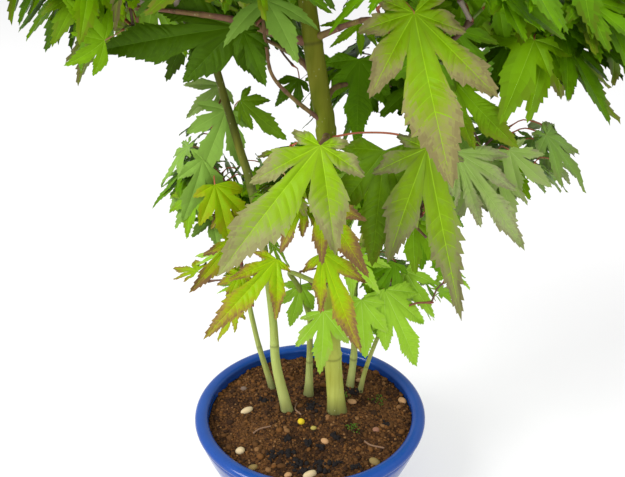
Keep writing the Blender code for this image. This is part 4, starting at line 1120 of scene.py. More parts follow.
def make_soil(waves):
    """The bed of soil, closed underneath, with its lumpy top."""
    top_radius = bowl_radius(BED_EDGE_DEPTH) - WALL - BED_EDGE_GAP
    floor = POT_HEIGHT - FLOOR_THICKNESS - BED_FLOOR_GAP
    below = [(bowl_radius(floor) - WALL - BED_CORNER, -floor)]
    depths = np.linspace(floor - BED_CORNER, BED_SIDE_TOP, 8)
    below += [(bowl_radius(d) - WALL - BED_GAP, -d) for d in depths]
    disc = [(top_radius * share, SOIL_TOP) for share in np.linspace(1, BED_MIDDLE, BED_RINGS)]
    profile = np.array([(0.0, -floor), *below, *disc, (0.0, SOIL_TOP)])

    def lumpy(turn, radius, height):
        raised = soil_height(radius * np.cos(turn), radius * np.sin(turn), waves)
        return radius, np.where(height > SOIL_TOP - TOP_WITHIN, raised, height)

    points, faces = turned(profile, BED_SIDES, lumpy)
    points[-1, 2] = soil_height(0.0, 0.0, waves)
    bed = new_piece("soil_bed", points, [block[:, ::-1] for block in faces], [soil_material()])
    settle(bed, "potting_soil", "soil")


def lump_shape(divisions):
    bm = bmesh.new()
    bmesh.ops.create_icosphere(bm, subdivisions=divisions, radius=1)
    points = np.array([v.co for v in bm.verts])
    faces = np.array([[v.index for v in f.verts] for f in bm.faces])
    bm.free()
    return points, faces


def put_lump(joined, shape, centre, half_sizes, turn, roughness, name, rng):
    """An uneven lump, tipped a little and turned by so many degrees."""
    points, faces = shape
    rough = Waves(rng, *LUMP_WAVES)
    own = points * (1 + roughness * rough(points))[:, None] * half_sizes
    tip, spin = rng.normal(0, TIPPED), math.radians(turn)
    c, s = math.cos(tip), math.sin(tip)
    own = own @ np.array([[1, 0, 0], [0, c, -s], [0, s, c]])
    c, s = math.cos(spin), math.sin(spin)
    own = own @ np.array([[c, s, 0], [-s, c, 0], [0, 0, 1]])
    joined.add(own + centre, (faces, name))


def scatter_crumbs(waves, library, rng):
    """Crumbs of peat and bark all over the bed, darker where it is damp."""
    crumbs = Joined()
    small, middle = lump_shape(1), lump_shape(2)
    for i in range(CRUMBS):
        radius = CRUMB_SPREAD * math.sqrt(rng.uniform(0, 1))
        turn = rng.uniform(0, 2 * math.pi)
        x, y = radius * math.cos(turn), radius * math.sin(turn)
        large = i % LARGE_EVERY == 0
        size = rng.uniform(*(LARGE_CRUMB if large else SMALL_CRUMB))
        at = (x, y, soil_height(x, y, waves) + size * CRUMB_RAISED)
        shares = np.array(list(CRUMB_SHARES.values()))
        damp = sum(math.exp(-((x - a) ** 2 + (y - b) ** 2) / reach) for a, b, reach in DAMP)
        shares[0] += DAMP_DARKER * damp
        name = rng.choice(list(CRUMB_SHARES), p=shares / shares.sum())
        half = size * rng.uniform(*CRUMB_HALVES, 3) * CRUMB_FLATNESS
        shape = middle if large else small
        put_lump(crumbs, shape, at, half, rng.uniform(0, 360), CRUMB_ROUGH, name, rng)
    settle(crumbs.build("soil_crumbs", library), "potting_soil")


def add_char(finds, shape, at, half, rng):
    """A heap of char: small, ragged lumps about a place."""
    for _ in range(CHAR_LUMPS):
        aside = rng.normal(0, CHAR_SPREAD, 2) * half[:2]
        size = rng.uniform(*CHAR_SIZES)
        put_lump(finds, shape, (at[0] + aside[0], at[1] + aside[1], at[2] + CHAR_RAISED),
                 size * rng.uniform(*CHAR_HALVES, 3), rng.uniform(0, 360), LOOSE_ROUGH, "char", rng)


def add_rootlet(finds, start, end, waves):
    """A thin root that lies bent over the bed."""
    middle = ((start[0] + end[0]) / 2 - ROOTLET_BEND, (start[1] + end[1]) / 2, 0)
    line = smooth_path([(*start, 0), middle, (*end, 0)], ROOTLET_STEP)
    line[:, 2] = soil_height(line[:, 0], line[:, 1], waves) + ROOTLET_RAISED
    finds.add_tube(line, np.full(len(line), ROOTLET_RADIUS), ROOTLET_SIDES, "rootlet")


def scatter_finds(waves, library, rng):
    """The grit, pellets, char, moss and rootlets that show on the bed."""
    finds = Joined()
    small, middle, fine = lump_shape(1), lump_shape(2), lump_shape(3)
    for x, y, half, turn, name in SOIL_FINDS:
        at = (x, y, soil_height(x, y, waves) + FIND_RAISED * half[2])
        put_lump(finds, fine, at, half, turn, GRIT_ROUGH, name, rng)
    for x, y, half in CHAR_HEAPS:
        at = (x, y, soil_height(x, y, waves) + FIND_RAISED * half[2])
        add_char(finds, middle, at, half, rng)
    for x, y, spread in MOSS_TUFTS:
        for _ in range(MOSS_LUMPS):
            aside = rng.normal(0, spread, 2)
            a, b = x + aside[0], y + aside[1]
            at = (a, b, soil_height(a, b, waves) + MOSS_RAISED)
            put_lump(finds, small, at, rng.uniform(*MOSS_SIZES, 3), 0, LOOSE_ROUGH, "moss", rng)
    for start, end in ROOTLETS:
        add_rootlet(finds, start, end, waves)
    settle(finds.build("soil_grit", library), "potting_soil")


# --------------------------------------------------------------------- limbs
TRUNK_SIDES, STEM_SIDES = 44, 26
# Relief as shares of the limb's radius. A ring swells, with a scar just after it, and on stems a pad
# on both sides where leaves stood: (how far past the ring, size, reach), in centimetres along the limb.
STEM_RING, STEM_SCAR, LEAF_PAD = (0, 0.085, 0.26), (0.05, 0.075, 0.06), (0.16, 0.16, 0.16)
BOUGH_RING, BOUGH_SCAR = (0, 0.22, 0.13), (0.03, 0.12, 0.04)
PAD_NARROWNESS = 10
STEM_WAVES, BOUGH_WAVES = (1.0, 5.0, 18), (1.0, 5.0, 12)
# Ridges: their height, and how close they stand round the limb and along it. Fine ones wind up a stem:
# height, how many round it and radians a centimetre. Wrinkles by a bough's foot: height, radians a
# centimetre and how far they reach.
STEM_RIDGES, STEM_RIDGE_SCALES = 0.020, (1.6, 0.35)
BOUGH_RIDGES, BOUGH_RIDGE_SCALES = 0.035, (1.5, 0.8)
TWIST, TWISTS, TWIST_TURN = 0.005, 7, 0.8
WRINKLE, WRINKLE_TURN, WRINKLE_REACH = 0.02, 14, 1.2
BUTTRESS_HEIGHT, BUTTRESS, BUTTRESS_FINE = 0.7, 0.13, 0.05
DARK_SCAR = (0.05, 1, 0.075)
BOUGH_RING_GAPS, MOST_BOUGH_RINGS = (1.3, 2.4), 8


def stem_radii(spec, path):
    """Even taper in two stretches, with the root flare at the foot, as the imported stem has."""
    foot, middle, tip = spec["radii"]
    height = np.maximum(path[:, 2] - SOIL_TOP, 0)
    share = np.minimum(1, height / (spec["path"][-1][2] - SOIL_TOP))
    lower = foot + (middle - foot) * np.minimum(1, share / EVEN_FROM_SHARE)
    upper = middle + (tip - middle) * (share - EVEN_TO_SHARE) / (1 - EVEN_TO_SHARE)
    radius = np.where(share < EVEN_TO_SHARE, lower, upper)
    return radius + spec["flare"] * np.exp(-height / FLARE_HEIGHT)


def ridges(waves, round_scale, along_scale, turns, distance):
    """Uneven ridges, longer along the limb than round it."""
    around = (round_scale * np.cos(turns), round_scale * np.sin(turns), along_scale * distance)
    return waves(np.stack(np.broadcast_arrays(*around), -1))


def stem_relief(rings, rng):
    """Ridges along the stem, swollen rings with scars where leaves stood, and buttresses at the foot."""
    sides = rng.uniform(0, 2 * np.pi, len(rings))
    buttress, waves = rng.uniform(0, 2 * np.pi), Waves(rng, *STEM_WAVES)

    def relief(turns, distance):
        twist = TWIST * np.sin(TWISTS * turns + TWIST_TURN * distance)
        push = STEM_RIDGES * ridges(waves, *STEM_RIDGE_SCALES, turns, distance) + twist
        for ring, side in zip(rings, sides):
            away = distance - ring
            push = push + bump(away, *STEM_RING) - bump(away, *STEM_SCAR)
            for turn in (side, side + np.pi):
                facing = np.maximum(0, np.cos(turns - turn)) ** PAD_NARROWNESS
                push = push + facing * bump(away, *LEAF_PAD)
        foot = BUTTRESS * np.cos(3 * turns + buttress) + BUTTRESS_FINE * np.cos(5 * turns)
        return push + foot * np.exp(-distance / BUTTRESS_HEIGHT)

    return relief


def bough_relief(rings, rng):
    """Rings where pairs of leaves stood, fine wrinkles near the stem and ridges along the bough."""
    waves = Waves(rng, *BOUGH_WAVES)

    def relief(turns, distance):
        wrinkles = WRINKLE * np.sin(WRINKLE_TURN * distance) * np.exp(-distance / WRINKLE_REACH)
        push = BOUGH_RIDGES * ridges(waves, *BOUGH_RIDGE_SCALES, turns, distance) + wrinkles
        for ring in rings:
            away = distance - ring
            push = push + bump(away, *BOUGH_RING) - bump(away, *BOUGH_SCAR)
        return push

    return relief


def barked(name, path, radii, sides, rings, relief, bark, slot):
    """The bark of one limb, whose joint attribute says how deep each point lies in a ring's scar."""
    points, quads, caps, uvs = tube(path, radii, sides, relief)
    scars = bump(distances(path)[:, None] - rings[None], *DARK_SCAR).sum(1)
    joint = np.concatenate([np.repeat(scars, sides), scars[[0, -1]]])
    piece = new_piece(name + "_bark", points, [quads, caps], [bark], uvs=uvs, attributes={"joint": joint})
    settle(piece, slot, name)


def make_stem(name, barks, rng):
    """A stem's path and radii, from just under the soil to its end."""
    spec, trunk = STEMS[name], name == "main_trunk"
    path = smooth_path(spec["path"], STEM_STEP)
    path = np.vstack([path[:1] - (path[1] - path[0]) * UNDER_SOIL_STEPS, path])
    radii = stem_radii(spec, path)
    rings = np.interp(spec["rings"], path[:, 2], distances(path))
    barked(name, path, radii, TRUNK_SIDES if trunk else STEM_SIDES, rings, stem_relief(rings, rng),
           barks["bark_green" if trunk else "bark_pale"], "green_bark")
    return path, radii


def make_bough(name, limbs, barks, rng):
    """A bough's path and radii, from the middle of its stem to the middle of its mass."""
    stem, height, passes, start, end, mass = BOUGHS[name]
    low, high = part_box("foliage_" + mass)
    stem_path = limbs[stem][0]
    foot = [np.interp(height, stem_path[:, 2], stem_path[:, axis]) for axis in (0, 1, 2)]
    path = smooth_path([foot, *passes, table((low + high) / 2)], BOUGH_STEP)
    along = distances(path)
    radii = start + (THIN_TO * end - start) * along / along[-1]
    radii = radii * (1 + COLLAR_SWELL * np.exp(-np.maximum(0, along - COLLAR_FROM) / COLLAR_LENGTH))
    rings = np.cumsum(rng.uniform(*BOUGH_RING_GAPS, MOST_BOUGH_RINGS))
    rings = rings[rings < along[-1]]
    barked(name, path, radii, BOUGH_SIDES, rings, bough_relief(rings, rng), barks["bark_brown"],
           "brown_bark")
    return path, radii


def make_limbs(rng):
    """The barked stems and boughs. Returns each limb's path and radii, from its foot to its end."""
    barks = {name: bark_material(name) for name in BARKS}
    limbs = {name: make_stem(name, barks, rng) for name in STEMS}
    for name in BOUGHS:
        limbs[name] = make_bough(name, limbs, barks, rng)
    return limbs


# -------------------------------------------------------------------- growth
CAMERA = np.array(CAMERA_AT)
UP, LEVEL = np.array([0.0, 0.0, 1.0]), (1, 1, 0)
BOX_LOW, BOX_HIGH = (table(corner) for corner in CAD_BOX)
# How far lobe tips may stand out of the whole plant's packed box, out of their own packed mass, and
# out of it in the upper crown, where the photograph doesn't reach.
OUTSIDE_BOX, OUTSIDE_MASS, OUTSIDE_MASS_ABOVE = 1.3, 1.3, 2.2
UPPER_FROM_Z = 28.0
# Leaves nearer than this aren't seen edge-on: the least share of their upper side that faces the camera.
EDGE_ON, EDGE_ON_BEFORE_Y = 0.30, 3.0
BEHIND_BY = 0.15
LIMB_COARSENESS, SHOWN_COARSENESS, LIMB_CLEARANCE, COARSE_SIDES = 6, 4, 0.05, 6
# A mass's spine is its limb from where it is this near the skin; twigs leave it at every so many steps.
SPINE_WITHIN, SPINE_STEPS = 0.3, 5
MOST_LEAVES = 2000
GROWN_SHAPES, TRIES_PER_LEAF = 12, 140
# Leaves in front longer than this have finer outlines, and how far one may face past the camera.
LARGE_LEAF, FACING_WITHIN_DEG = 4.5, 22
# Lobes of a grown leaf: angle, share of the middle lobe's length (lowest and highest) and half-width.
GROWN_LOBES = ((-82, (0.42, 0.56), 0.165), (-41, (0.64, 0.80), 0.165), (0, 1.0, 0.155),
               (41, (0.64, 0.80), 0.165), (82, (0.42, 0.56), 0.165))
OUTER_ANGLE, OUTER_LENGTHS, OUTER_WIDTH, OUTER_UNEVEN = 126, (0.22, 0.34), 0.16, (0.85, 1.1)
ANGLE_SWAY, WIDTH_SHARES, GROWN_JOINED = 2.5, (0.9, 1.1), (0.28, 0.40)
# A tooth's size, the teeth on each side of the middle lobe and half the width of its rib.
GROWN_EDGE = dict(tooth=0.036, teeth=5, rib=0.0045)
FRONT_EDGE = dict(tooth=0.027, teeth=6, rib=0.0045)
FINE_EDGE = dict(tooth=0.027, teeth=8, rib=0.0028)
# A pair's place: how level its way from the mass's middle is, and how far along that way it stands.
WAY_SHAPE, WAY_LIFT, PLACE_SHARE = (1.0, 1.0, 0.8), (0, 0, 0.12), (0.10, 0.80)
# A grown leaf, lowest and highest: its stalk's angle from the shoot, the stalk's rise and the blade's
# droop in degrees, and how much of the stalk's angle the blade takes.
SPROUT_LOW, SPROUT_HIGH = (25, 0, 8, 0.6), (70, 35, 62, 1.1)
STALK_SHARE, SIZE_SHARE, BLADE_TILT, OUT_SWAY = (0.30, 0.50), (0.88, 1.0), 0.28, 0.5
STRENGTHS = (0.35, 1.0)
# A stalk in front goes towards its limb by at most these shares of the leaf and of the gap, and aside.
STALK_OF_LEAF, STALK_OF_GAP, STALK_ASIDE = 0.38, 0.6, (0, 0.3, 0.1)
# Twigs (cm): how far apart their points are, how they swing and rise, and their thickness: one leaf's
# share and what grows with the square root of the number of leaves.
TWIG_STEP, TWIG_SWING, TWIG_RISE = 0.9, 0.07, 0.05
TWIG_RADIUS, TWIG_GROWTH = 0.030, 0.030
TWIG_END, TWIG_FORK, TWIG_SWELL = (0, 1, 0.09), (0, 0.6, 0.12), 0.45
# Rings along a twig: one every so many centimetres, from where, how far each goes and how high it is.
TWIG_RING_GAP, TWIG_RING_FROM, TWIG_RING_AT, TWIG_RING_HALF, TWIG_RING = 1.5, 0.5, 0.7, 0.1, 0.25
# Twigs' tones: the share of each, among those that carry one leaf, more than three and up to two.
TWIG_GREEN, TWIG_GREY, TWIG_RED = 0.35, 0.5, 0.5
TWIG_SIDES, TWIG_SMOOTH, STALK_SIDES, STALK_SMOOTH = 6, 0.34, 5, 0.32
# A bud at a twig's end: its rings' places in centimetres and widths as shares of the twig's.
BUD_AT, BUD_WIDTH = (-0.02, 0.05, 0.11, 0.17), (0.9, 1.15, 0.8, 0.15)
# Stalks: radius (and what each centimetre of leaf adds), and how they arch up and back.
STALK_RADIUS, STALK_GROWTH, STALK_RISE, STALK_BACK = 0.028, 0.0035, 0.10, 0.12
# How a stalk thickens at its foot and by its leaf: by how much, and over what share of its length.
FOOT_SWELL, FOOT_REACH, HEAD_SWELL, HEAD_REACH = 0.8, 0.06, 0.35, 0.08
# It comes up to this share of its radius below the leaf, then runs a share of the leaf's length out
# under the middle vein, where it ends another share of its radius lower, and thinner.
STALK_UNDER, UNDER_VEIN_ALONG, UNDER_VEIN, STALK_TIP = 0.8, 0.03, 0.4, 0.5
STALK_RED, STALK_RED_ELSE, STALK_ROSE = {"lime": 0.25, "mid": 0.6, "deep": 0.5}, 0.85, 0.2
# How leaves bend: ranges as shares of their length, for grown leaves and those placed in front.
GROWN_BEND = {"droop": (0.04, 0.16), "curl": (0.0, 0.10), "fold": (0.05, 0.22),
              "wave": (0.010, 0.035), "quilt": (0.010, 0.020), "phase": (0, 1)}
FRONT_BEND = {"droop": (0.14, 0.26), "curl": (0.28, 0.50), "fold": (0.18, 0.34),
              "wave": (0.014, 0.030), "quilt": 0.014, "phase": (0, 1)}


class Mass:
    """The room that a packed mass of foliage takes, the part of its limb within, and its leaves."""

    def __init__(self, name, limbs):
        mesh = frame["nodes"]["foliage_" + name].data
        points = table([v.co for v in mesh.vertices])
        self.tree = BVHTree.FromPolygons(points.tolist(), [tuple(p.vertices) for p in mesh.polygons])
        self.centre = (points.min(0) + points.max(0)) / 2
        limb, tones, self.count, self.lengths = MASSES[name]
        self.tones, self.shares = list(tones), np.array(list(tones.values()))
        path = limbs[limb][0]
        within = np.array([self.excess(p) < SPINE_WITHIN for p in path])
        self.spine = path[int(np.flatnonzero(within)[0]) if within.any() else len(path) - 1:]
        self.leaves = []

    def reach(self, way):
        """How far the mass goes from its middle, along a direction."""
        hit = self.tree.ray_cast(Vector(self.centre), Vector(unit(way)))[3]
        return hit if hit is not None else 0.0

    def excess(self, point):
        """How far a point is outside the mass's skin; negative inside."""
        away = point - self.centre
        length = float(np.linalg.norm(away))
        return length - self.reach(away) if length > 1e-6 else -1.0


def search_tree(blocks):
    """A search tree of (points, faces) blocks."""
    points, faces = [], []
    for block_points, block_faces in blocks:
        faces += [tuple(corner + len(points) for corner in face) for face in block_faces]
        points += [tuple(p) for p in block_points]
    return BVHTree.FromPolygons(points, faces)


class Crown:
    """All the leaves, and the rules that a new one keeps."""

    def __init__(self, limbs):
        self.leaves, self.kites, self.front = [], [], None
        self.junctions, self.reaches = np.zeros((MOST_LEAVES, 3)), np.zeros(MOST_LEAVES)
        n = LIMB_COARSENESS
        self.limb_tree = search_tree(tube(path[::n], radii[::n] + LIMB_CLEARANCE, COARSE_SIDES)[:2]
                                     for path, radii in limbs.values())
        gaps = np.array(SKY_GAPS)
        self.gap_at, self.gap_size = gaps[:, :2], gaps[:, 2]

    def add(self, leaf):
        self.junctions[len(self.leaves)] = leaf.junction
        self.reaches[len(self.leaves)] = leaf.length
        self.leaves.append(leaf)
        self.kites.append(leaf.coarse())

    def hold_front(self, limbs):
        """Remembers the photographed leaves and limbs, which nothing may stand in front of."""
        blocks = []
        for name, top in SHOWN_LIMBS.items():
            path, radii = limbs[name]
            shown = np.flatnonzero(path[:, 2] < top)[::SHOWN_COARSENESS]
            blocks.append(tube(path[shown], radii[shown], COARSE_SIDES)[:2])
        for leaf in self.leaves:
            tips, flanks = leaf.key_points()
            blocks += [((leaf.junction, right, tip, left), [(0, 1, 2, 3)])
                       for tip, (right, left) in zip(tips, flanks)]
        self.front = search_tree(blocks)

    def shows(self, points):
        """True if none of the points covers a sky gap, or a photographed leaf or limb."""
        ways = points - CAMERA
        at = CAMERA + ways * ((SKY_PLANE_Y - CAMERA[1]) / ways[:, 1:2])
        away = np.linalg.norm(at[:, None, ::2] - self.gap_at[None], axis=2)
        if (away < self.gap_size + SKY_MARGIN).any():
            return False
        for way in ways:
            distance = float(np.linalg.norm(way))
            hit = self.front.ray_cast(Vector(CAMERA), Vector(way / distance))[3]
            if hit is not None and hit > distance + BEHIND_BY:
                return False
        return True

    def fits(self, leaf, mass):
        """True if a leaf has room, stays near its mass and leaves what the photograph shows in sight."""
        tips, flanks = leaf.key_points()
        if (tips < BOX_LOW - OUTSIDE_BOX).any() or (tips > BOX_HIGH + OUTSIDE_BOX).any():
            return False
        allowed = OUTSIDE_MASS_ABOVE if mass.centre[2] > UPPER_FROM_Z else OUTSIDE_MASS
        if any(mass.excess(tip) > allowed for tip in tips):
            return False
        facing = abs(leaf.normal @ unit(leaf.junction - CAMERA))
        if leaf.junction[1] < EDGE_ON_BEFORE_Y and facing < EDGE_ON:
            return False
        middles = (leaf.junction + tips) / 2
        stalk = leaf.base + (leaf.junction - leaf.base) * np.array([[0.0], [0.5], [1.0]])
        if not self.shows(np.vstack([tips, middles, flanks.reshape(-1, 3), stalk])):
            return False
        kite = leaf.coarse()
        if kite.overlap(self.limb_tree):
            return False
        count = len(self.leaves)
        away = self.junctions[:count] - leaf.junction
        near = (away * away).sum(1) < (self.reaches[:count] + leaf.length) ** 2
        return not any(kite.overlap(self.kites[i]) for i in np.flatnonzero(near))


def grown_shapes(rng):
    """A bank of leaf outlines with seven lobes, or five in every third."""
    shapes = []
    for k in range(GROWN_SHAPES):
        outer = rng.uniform(*OUTER_LENGTHS)
        lobes = [(a, rng.uniform(*share) if a else share, width) for a, share, width in GROWN_LOBES]
        if k % 3:
            other = outer * rng.uniform(*OUTER_UNEVEN)
            lobes = [(-OUTER_ANGLE, outer, OUTER_WIDTH), *lobes, (OUTER_ANGLE, other, OUTER_WIDTH)]
        lobes = [(angle + rng.normal(0, ANGLE_SWAY), share, width * rng.uniform(*WIDTH_SHARES))
                 for angle, share, width in lobes]
        shapes.append(leaf_shape(lobes, rng, rng.uniform(*GROWN_JOINED), **GROWN_EDGE))
    return shapes


def drawn_bend(ranges, rng):
    """How one leaf bends, drawn from the ranges; a plain number stays as it is."""
    return {key: rng.uniform(*span) if isinstance(span, tuple) else span for key, span in ranges.items()}


def front_leaf(name, rng):
    """A leaf that the photograph shows, turned to face the camera, its arched tip where it is seen."""
    _, junction, tip, sides, width, joined, tone, strength = FRONT_LEAVES[name]
    junction, tip = np.array(junction), np.array(tip)
    side_width, middle_width = width if isinstance(width, tuple) else (width, width)
    lobes = sorted([(-angle, share, side_width) for angle, share in sides] + [(0, 1.0, middle_width)])
    reach = float(np.linalg.norm(tip - junction))
    fine = reach > LARGE_LEAF
    shape = leaf_shape(lobes, rng, joined, **(FINE_EDGE if fine else FRONT_EDGE), fine=fine)
    bend = drawn_bend(FRONT_BEND, rng)
    axis = unit(tip - junction)
    aside = math.radians(rng.uniform(-FACING_WITHIN_DEG, FACING_WITHIN_DEG))
    normal = turn_about(unit(CAMERA - junction), axis, aside)
    normal = unit(normal - axis * (normal @ axis))
    arched = axis + bend["droop"] * normal
    length = reach / math.hypot(1, bend["droop"])
    route = STALK_ROUTES.get(name)
    base = route[0] if route else STALK_FROM.get(name)
    return Leaf(shape, junction, arched, normal, length, bend, tone, strength, base, route)


def put_front_leaves(crown, masses, limbs):
    """Every leaf that the photograph shows well, which the grown ones then keep free."""
    rng = np.random.default_rng([SEED, 1])
    for name in FRONT_LEAVES:
        leaf = front_leaf(name, rng)
        crown.add(leaf)
        masses[FRONT_LEAVES[name][0]].leaves.append(leaf)
    crown.hold_front(limbs)


def sprouted(base, out, size, side, shapes, rng):
    """One leaf of a pair, to one side of the shoot's way out, held up on its stalk and drooping."""
    spread, rise, droop, heading = rng.uniform(SPROUT_LOW, SPROUT_HIGH)
    level = turn_about(out, UP, side * math.radians(spread))
    rise, droop = math.radians(rise), math.radians(droop)
    stalk = rng.uniform(*STALK_SHARE) * size
    junction = base + stalk * (level * math.cos(rise) + UP * math.sin(rise))
    level = turn_about(out, UP, side * math.radians(spread) * heading)
    axis = level * math.cos(droop) - UP * math.sin(droop)
    normal = turn_about(unit(UP - axis * axis[2]), axis, rng.normal(0, BLADE_TILT))
    shape = shapes[rng.integers(len(shapes))]
    length = size * rng.uniform(*SIZE_SHARE)
    bend = drawn_bend(GROWN_BEND, rng)
    return Leaf(shape, junction, axis, normal, length, bend, None, rng.uniform(*STRENGTHS), base)


def grow_leaves(crown, mass, shapes, rng):
    """Pairs of leaves on shoots that point away from the mass's middle, as many as find room."""
    wanted = mass.count + len(mass.leaves)
    for _ in range(TRIES_PER_LEAF * mass.count):
        if len(mass.leaves) >= wanted:
            return
        way = unit(rng.normal(size=3) * WAY_SHAPE + WAY_LIFT)
        base = mass.centre + way * mass.reach(way) * rng.uniform(*PLACE_SHARE)
        out = unit((base - mass.centre) * LEVEL + rng.normal(0, OUT_SWAY, 3) * LEVEL)
        size = rng.uniform(*mass.lengths)
        for side in (-1, 1):
            leaf = sprouted(base, out, size, side, shapes, rng)
            if crown.fits(leaf, mass):
                leaf.tone = str(rng.choice(mass.tones, p=mass.shares / mass.shares.sum()))
                crown.add(leaf)
                mass.leaves.append(leaf)


def find_bases(mass):
    """Where the stalks of the leaves in front leave their twigs: a little way towards the limb."""
    for leaf in mass.leaves:
        if leaf.base is None:
            near = mass.spine[np.linalg.norm(mass.spine - leaf.junction, axis=1).argmin()]
            toward = near - leaf.junction
            gap = float(np.linalg.norm(toward))
            way = unit(toward) * min(STALK_OF_LEAF * leaf.length, STALK_OF_GAP * gap)
            leaf.base = leaf.junction + way + STALK_ASIDE


def twig_strands(mass, rng):
    """(points, strands, loads): twigs as rows of points, and how many leaves hang on each point.

    Each strand starts from the limb or from the nearest point of the twigs already grown."""
    points = list(mass.spine[::SPINE_STEPS])
    parents = [-1] * len(points)
    strands, ends, done = [], [], {}
    nearness = [np.linalg.norm(mass.spine - leaf.base, axis=1).min() for leaf in mass.leaves]
    for index in np.argsort(nearness, kind="stable"):
        leaf = mass.leaves[index]
        key = tuple(np.round(leaf.base, 3))
        if key in done:
            ends.append(done[key])
        if key in done or leaf.route:
            continue
        away = np.linalg.norm(np.array(points) - leaf.base, axis=1)
        nearest = int(away.argmin())
        start, reach = points[nearest], float(away[nearest])
        steps = max(1, round(reach / TWIG_STEP))
        swing = rng.normal(0, TWIG_SWING * reach, 3) + UP * TWIG_RISE * reach
        strand = [nearest]
        for k in range(1, steps + 1):
            t = k / steps
            points.append(start + (leaf.base - start) * t + swing * math.sin(math.pi * t))
            parents.append(strand[-1])
            strand.append(len(points) - 1)
        strands.append(strand)
        ends.append(strand[-1])
        done[key] = strand[-1]
    loads = np.zeros(len(points))
    for end in ends:
        while end != -1:
            loads[end] += 1
            end = parents[end]
    return np.array(points), strands, loads


def grow_twigs(mass, twigs, rng):
    """Twigs that reach every leaf base from the limb, thicker the more leaves they carry."""
    points, strands, loads = twig_strands(mass, rng)
    for strand in strands:
        line, load = points[strand], loads[strand]
        radii = TWIG_RADIUS + TWIG_GROWTH * np.maximum(load, 1) ** 0.5
        radii[0] = radii[1]
        path = smooth_path(line, TWIG_SMOOTH)
        along, knots = distances(path), distances(line)
        width = np.interp(along / along[-1], knots / knots[-1], radii)
        joint = bump(along - along[-1], *TWIG_END) + bump(along, *TWIG_FORK)
        to_ring = (along + TWIG_RING_FROM) % TWIG_RING_GAP - TWIG_RING_AT
        ringed = (np.abs(to_ring) < TWIG_RING_HALF) * TWIG_RING
        tone = "twig_green" if load[-1] <= 1 and rng.uniform() < TWIG_GREEN else "twig_brown"
        tone = "twig_grey" if load[1] > 3 and rng.uniform() < TWIG_GREY else tone
        tone = "twig_red" if load[1] <= 2 and rng.uniform() < TWIG_RED else tone
        twigs.add_tube(path, width * (1 + TWIG_SWELL * joint + ringed), TWIG_SIDES, tone)
        bud = path[-1] + unit(path[-1] - path[-2]) * np.array(BUD_AT)[:, None]
        twigs.add_tube(bud, width[-1] * np.array(BUD_WIDTH), TWIG_SIDES, "bud_red")


def add_stalk(stalks, leaf, rng):
    """A leaf's stalk, thin in the middle, that comes up to the leaf along its middle vein."""
    thick = STALK_RADIUS + STALK_GROWTH * leaf.length
    junction = leaf.junction - leaf.normal * STALK_UNDER * thick
    span = float(np.linalg.norm(junction - leaf.base))
    arch = (leaf.base + junction) / 2 + UP * STALK_RISE * span - leaf.axis * STALK_BACK * span
    line = [*leaf.route, junction] if leaf.route else [leaf.base, arch, junction]
    under_vein = junction + leaf.axis * UNDER_VEIN_ALONG * leaf.length - leaf.normal * UNDER_VEIN * thick
    path = smooth_path(np.vstack([*line, under_vein]), STALK_SMOOTH)
    share = distances(path) / distances(path)[-1]
    foot, head = np.exp(-share / FOOT_REACH), np.exp(-(1 - share) / HEAD_REACH)
    radii = thick * (1 + FOOT_SWELL * foot + HEAD_SWELL * head)
    radii[-1] *= STALK_TIP
    warm = rng.uniform() < STALK_RED.get(leaf.tone, STALK_RED_ELSE)
    tone = "stalk_red" if warm else "stalk_green"
    tone = "stalk_rose" if rng.uniform() < STALK_ROSE else tone
    stalks.add_tube(path, radii, STALK_SIDES, "stalk_red" if leaf.route else tone)


def grow_crown(limbs, library):
    """Every leaf in a piece per mass, and all twigs and all leaf stalks in a piece each."""
    crown = Crown(limbs)
    masses = {name: Mass(name, limbs) for name in MASSES}
    put_front_leaves(crown, masses, limbs)
    shapes = grown_shapes(np.random.default_rng([SEED, 2]))
    twigs, stalks = Joined(), Joined()
    for index, (name, mass) in enumerate(masses.items()):
        rng = np.random.default_rng([SEED, 3, index])
        grow_leaves(crown, mass, shapes, rng)
        find_bases(mass)
        grow_twigs(mass, twigs, rng)
        leaves = Joined()
        for leaf in mass.leaves:
            add_leaf(leaves, leaf, rng)
            add_stalk(stalks, leaf, rng)
        settle(leaves.build("leaves_" + name, library), "foliage", "foliage_" + name)
    settle(twigs.build("twigs", library), "brown_bark")
    settle(stalks.build("leaf_stalks", library), "foliage")


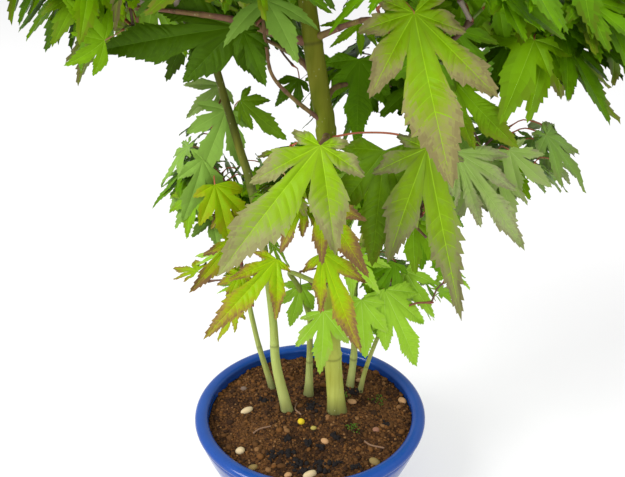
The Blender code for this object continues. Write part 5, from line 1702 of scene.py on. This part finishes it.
# ------------------------------------------------------------- stage (metres)
FLOOR_HALF_SIZE, FLOOR_GREY, FLOOR_GLOW = 14.0, 0.62, 0.38
SKY_STRENGTH = 0.72
# Each lamp: where it is, what it points at, its disk's diameter and its power in watts.
LAMPS = {
    "window_left": ((-1.5, -0.9, 1.6), (0, 0, 0.22), 1.3, 46),
    "front_top": ((0.45, -1.7, 1.35), (0, 0, 0.2), 1.4, 18),
}


def make_floor():
    bm = bmesh.new()
    bmesh.ops.create_grid(bm, x_segments=8, y_segments=8, size=FLOOR_HALF_SIZE)
    floor = link("floor", mesh_of(bm, "floor"))
    material = plain("floor_paper", (FLOOR_GREY,) * 3, 0.9, 0.0)
    shader = material.node_tree.nodes["Principled BSDF"]
    shader.inputs["Emission Color"].default_value = (1, 1, 1, 1)
    shader.inputs["Emission Strength"].default_value = FLOOR_GLOW
    floor.data.materials.append(material)


def make_lights():
    studio = bpy.data.worlds.new("studio")
    studio.use_nodes = True
    background = studio.node_tree.nodes["Background"]
    background.inputs["Color"].default_value = (1, 1, 1, 1)
    background.inputs["Strength"].default_value = SKY_STRENGTH
    bpy.context.scene.world = studio
    for name, (place, target, size, watts) in LAMPS.items():
        data = bpy.data.lights.new(name, "AREA")
        data.shape, data.size, data.energy = "DISK", size, watts
        light = link(name, data)
        light.location = place
        light.rotation_euler = (Vector(target) - Vector(place)).to_track_quat("-Z", "Y").to_euler()


def make_camera():
    data = bpy.data.cameras.new("camera")
    data.lens, data.sensor_width = CAMERA_LENS_MM, SENSOR_MM
    camera = link("camera", data)
    camera.location = world(CAMERA_AT)
    camera.rotation_euler = (math.radians(90 - CAMERA_PITCH_DEG), 0, 0)
    bpy.context.scene.camera = camera


def main():
    bpy.context.scene.view_settings.view_transform = "Standard"
    library = make_library()
    make_pot()
    waves = Waves(np.random.default_rng([SEED, 4]), *BED_WAVES)
    make_soil(waves)
    rng = np.random.default_rng([SEED, 5])
    scatter_crumbs(waves, library, rng)
    scatter_finds(waves, library, rng)
    limbs = make_limbs(np.random.default_rng([SEED, 6]))
    grow_crown(limbs, library)
    make_floor()
    make_lights()
    make_camera()


main()
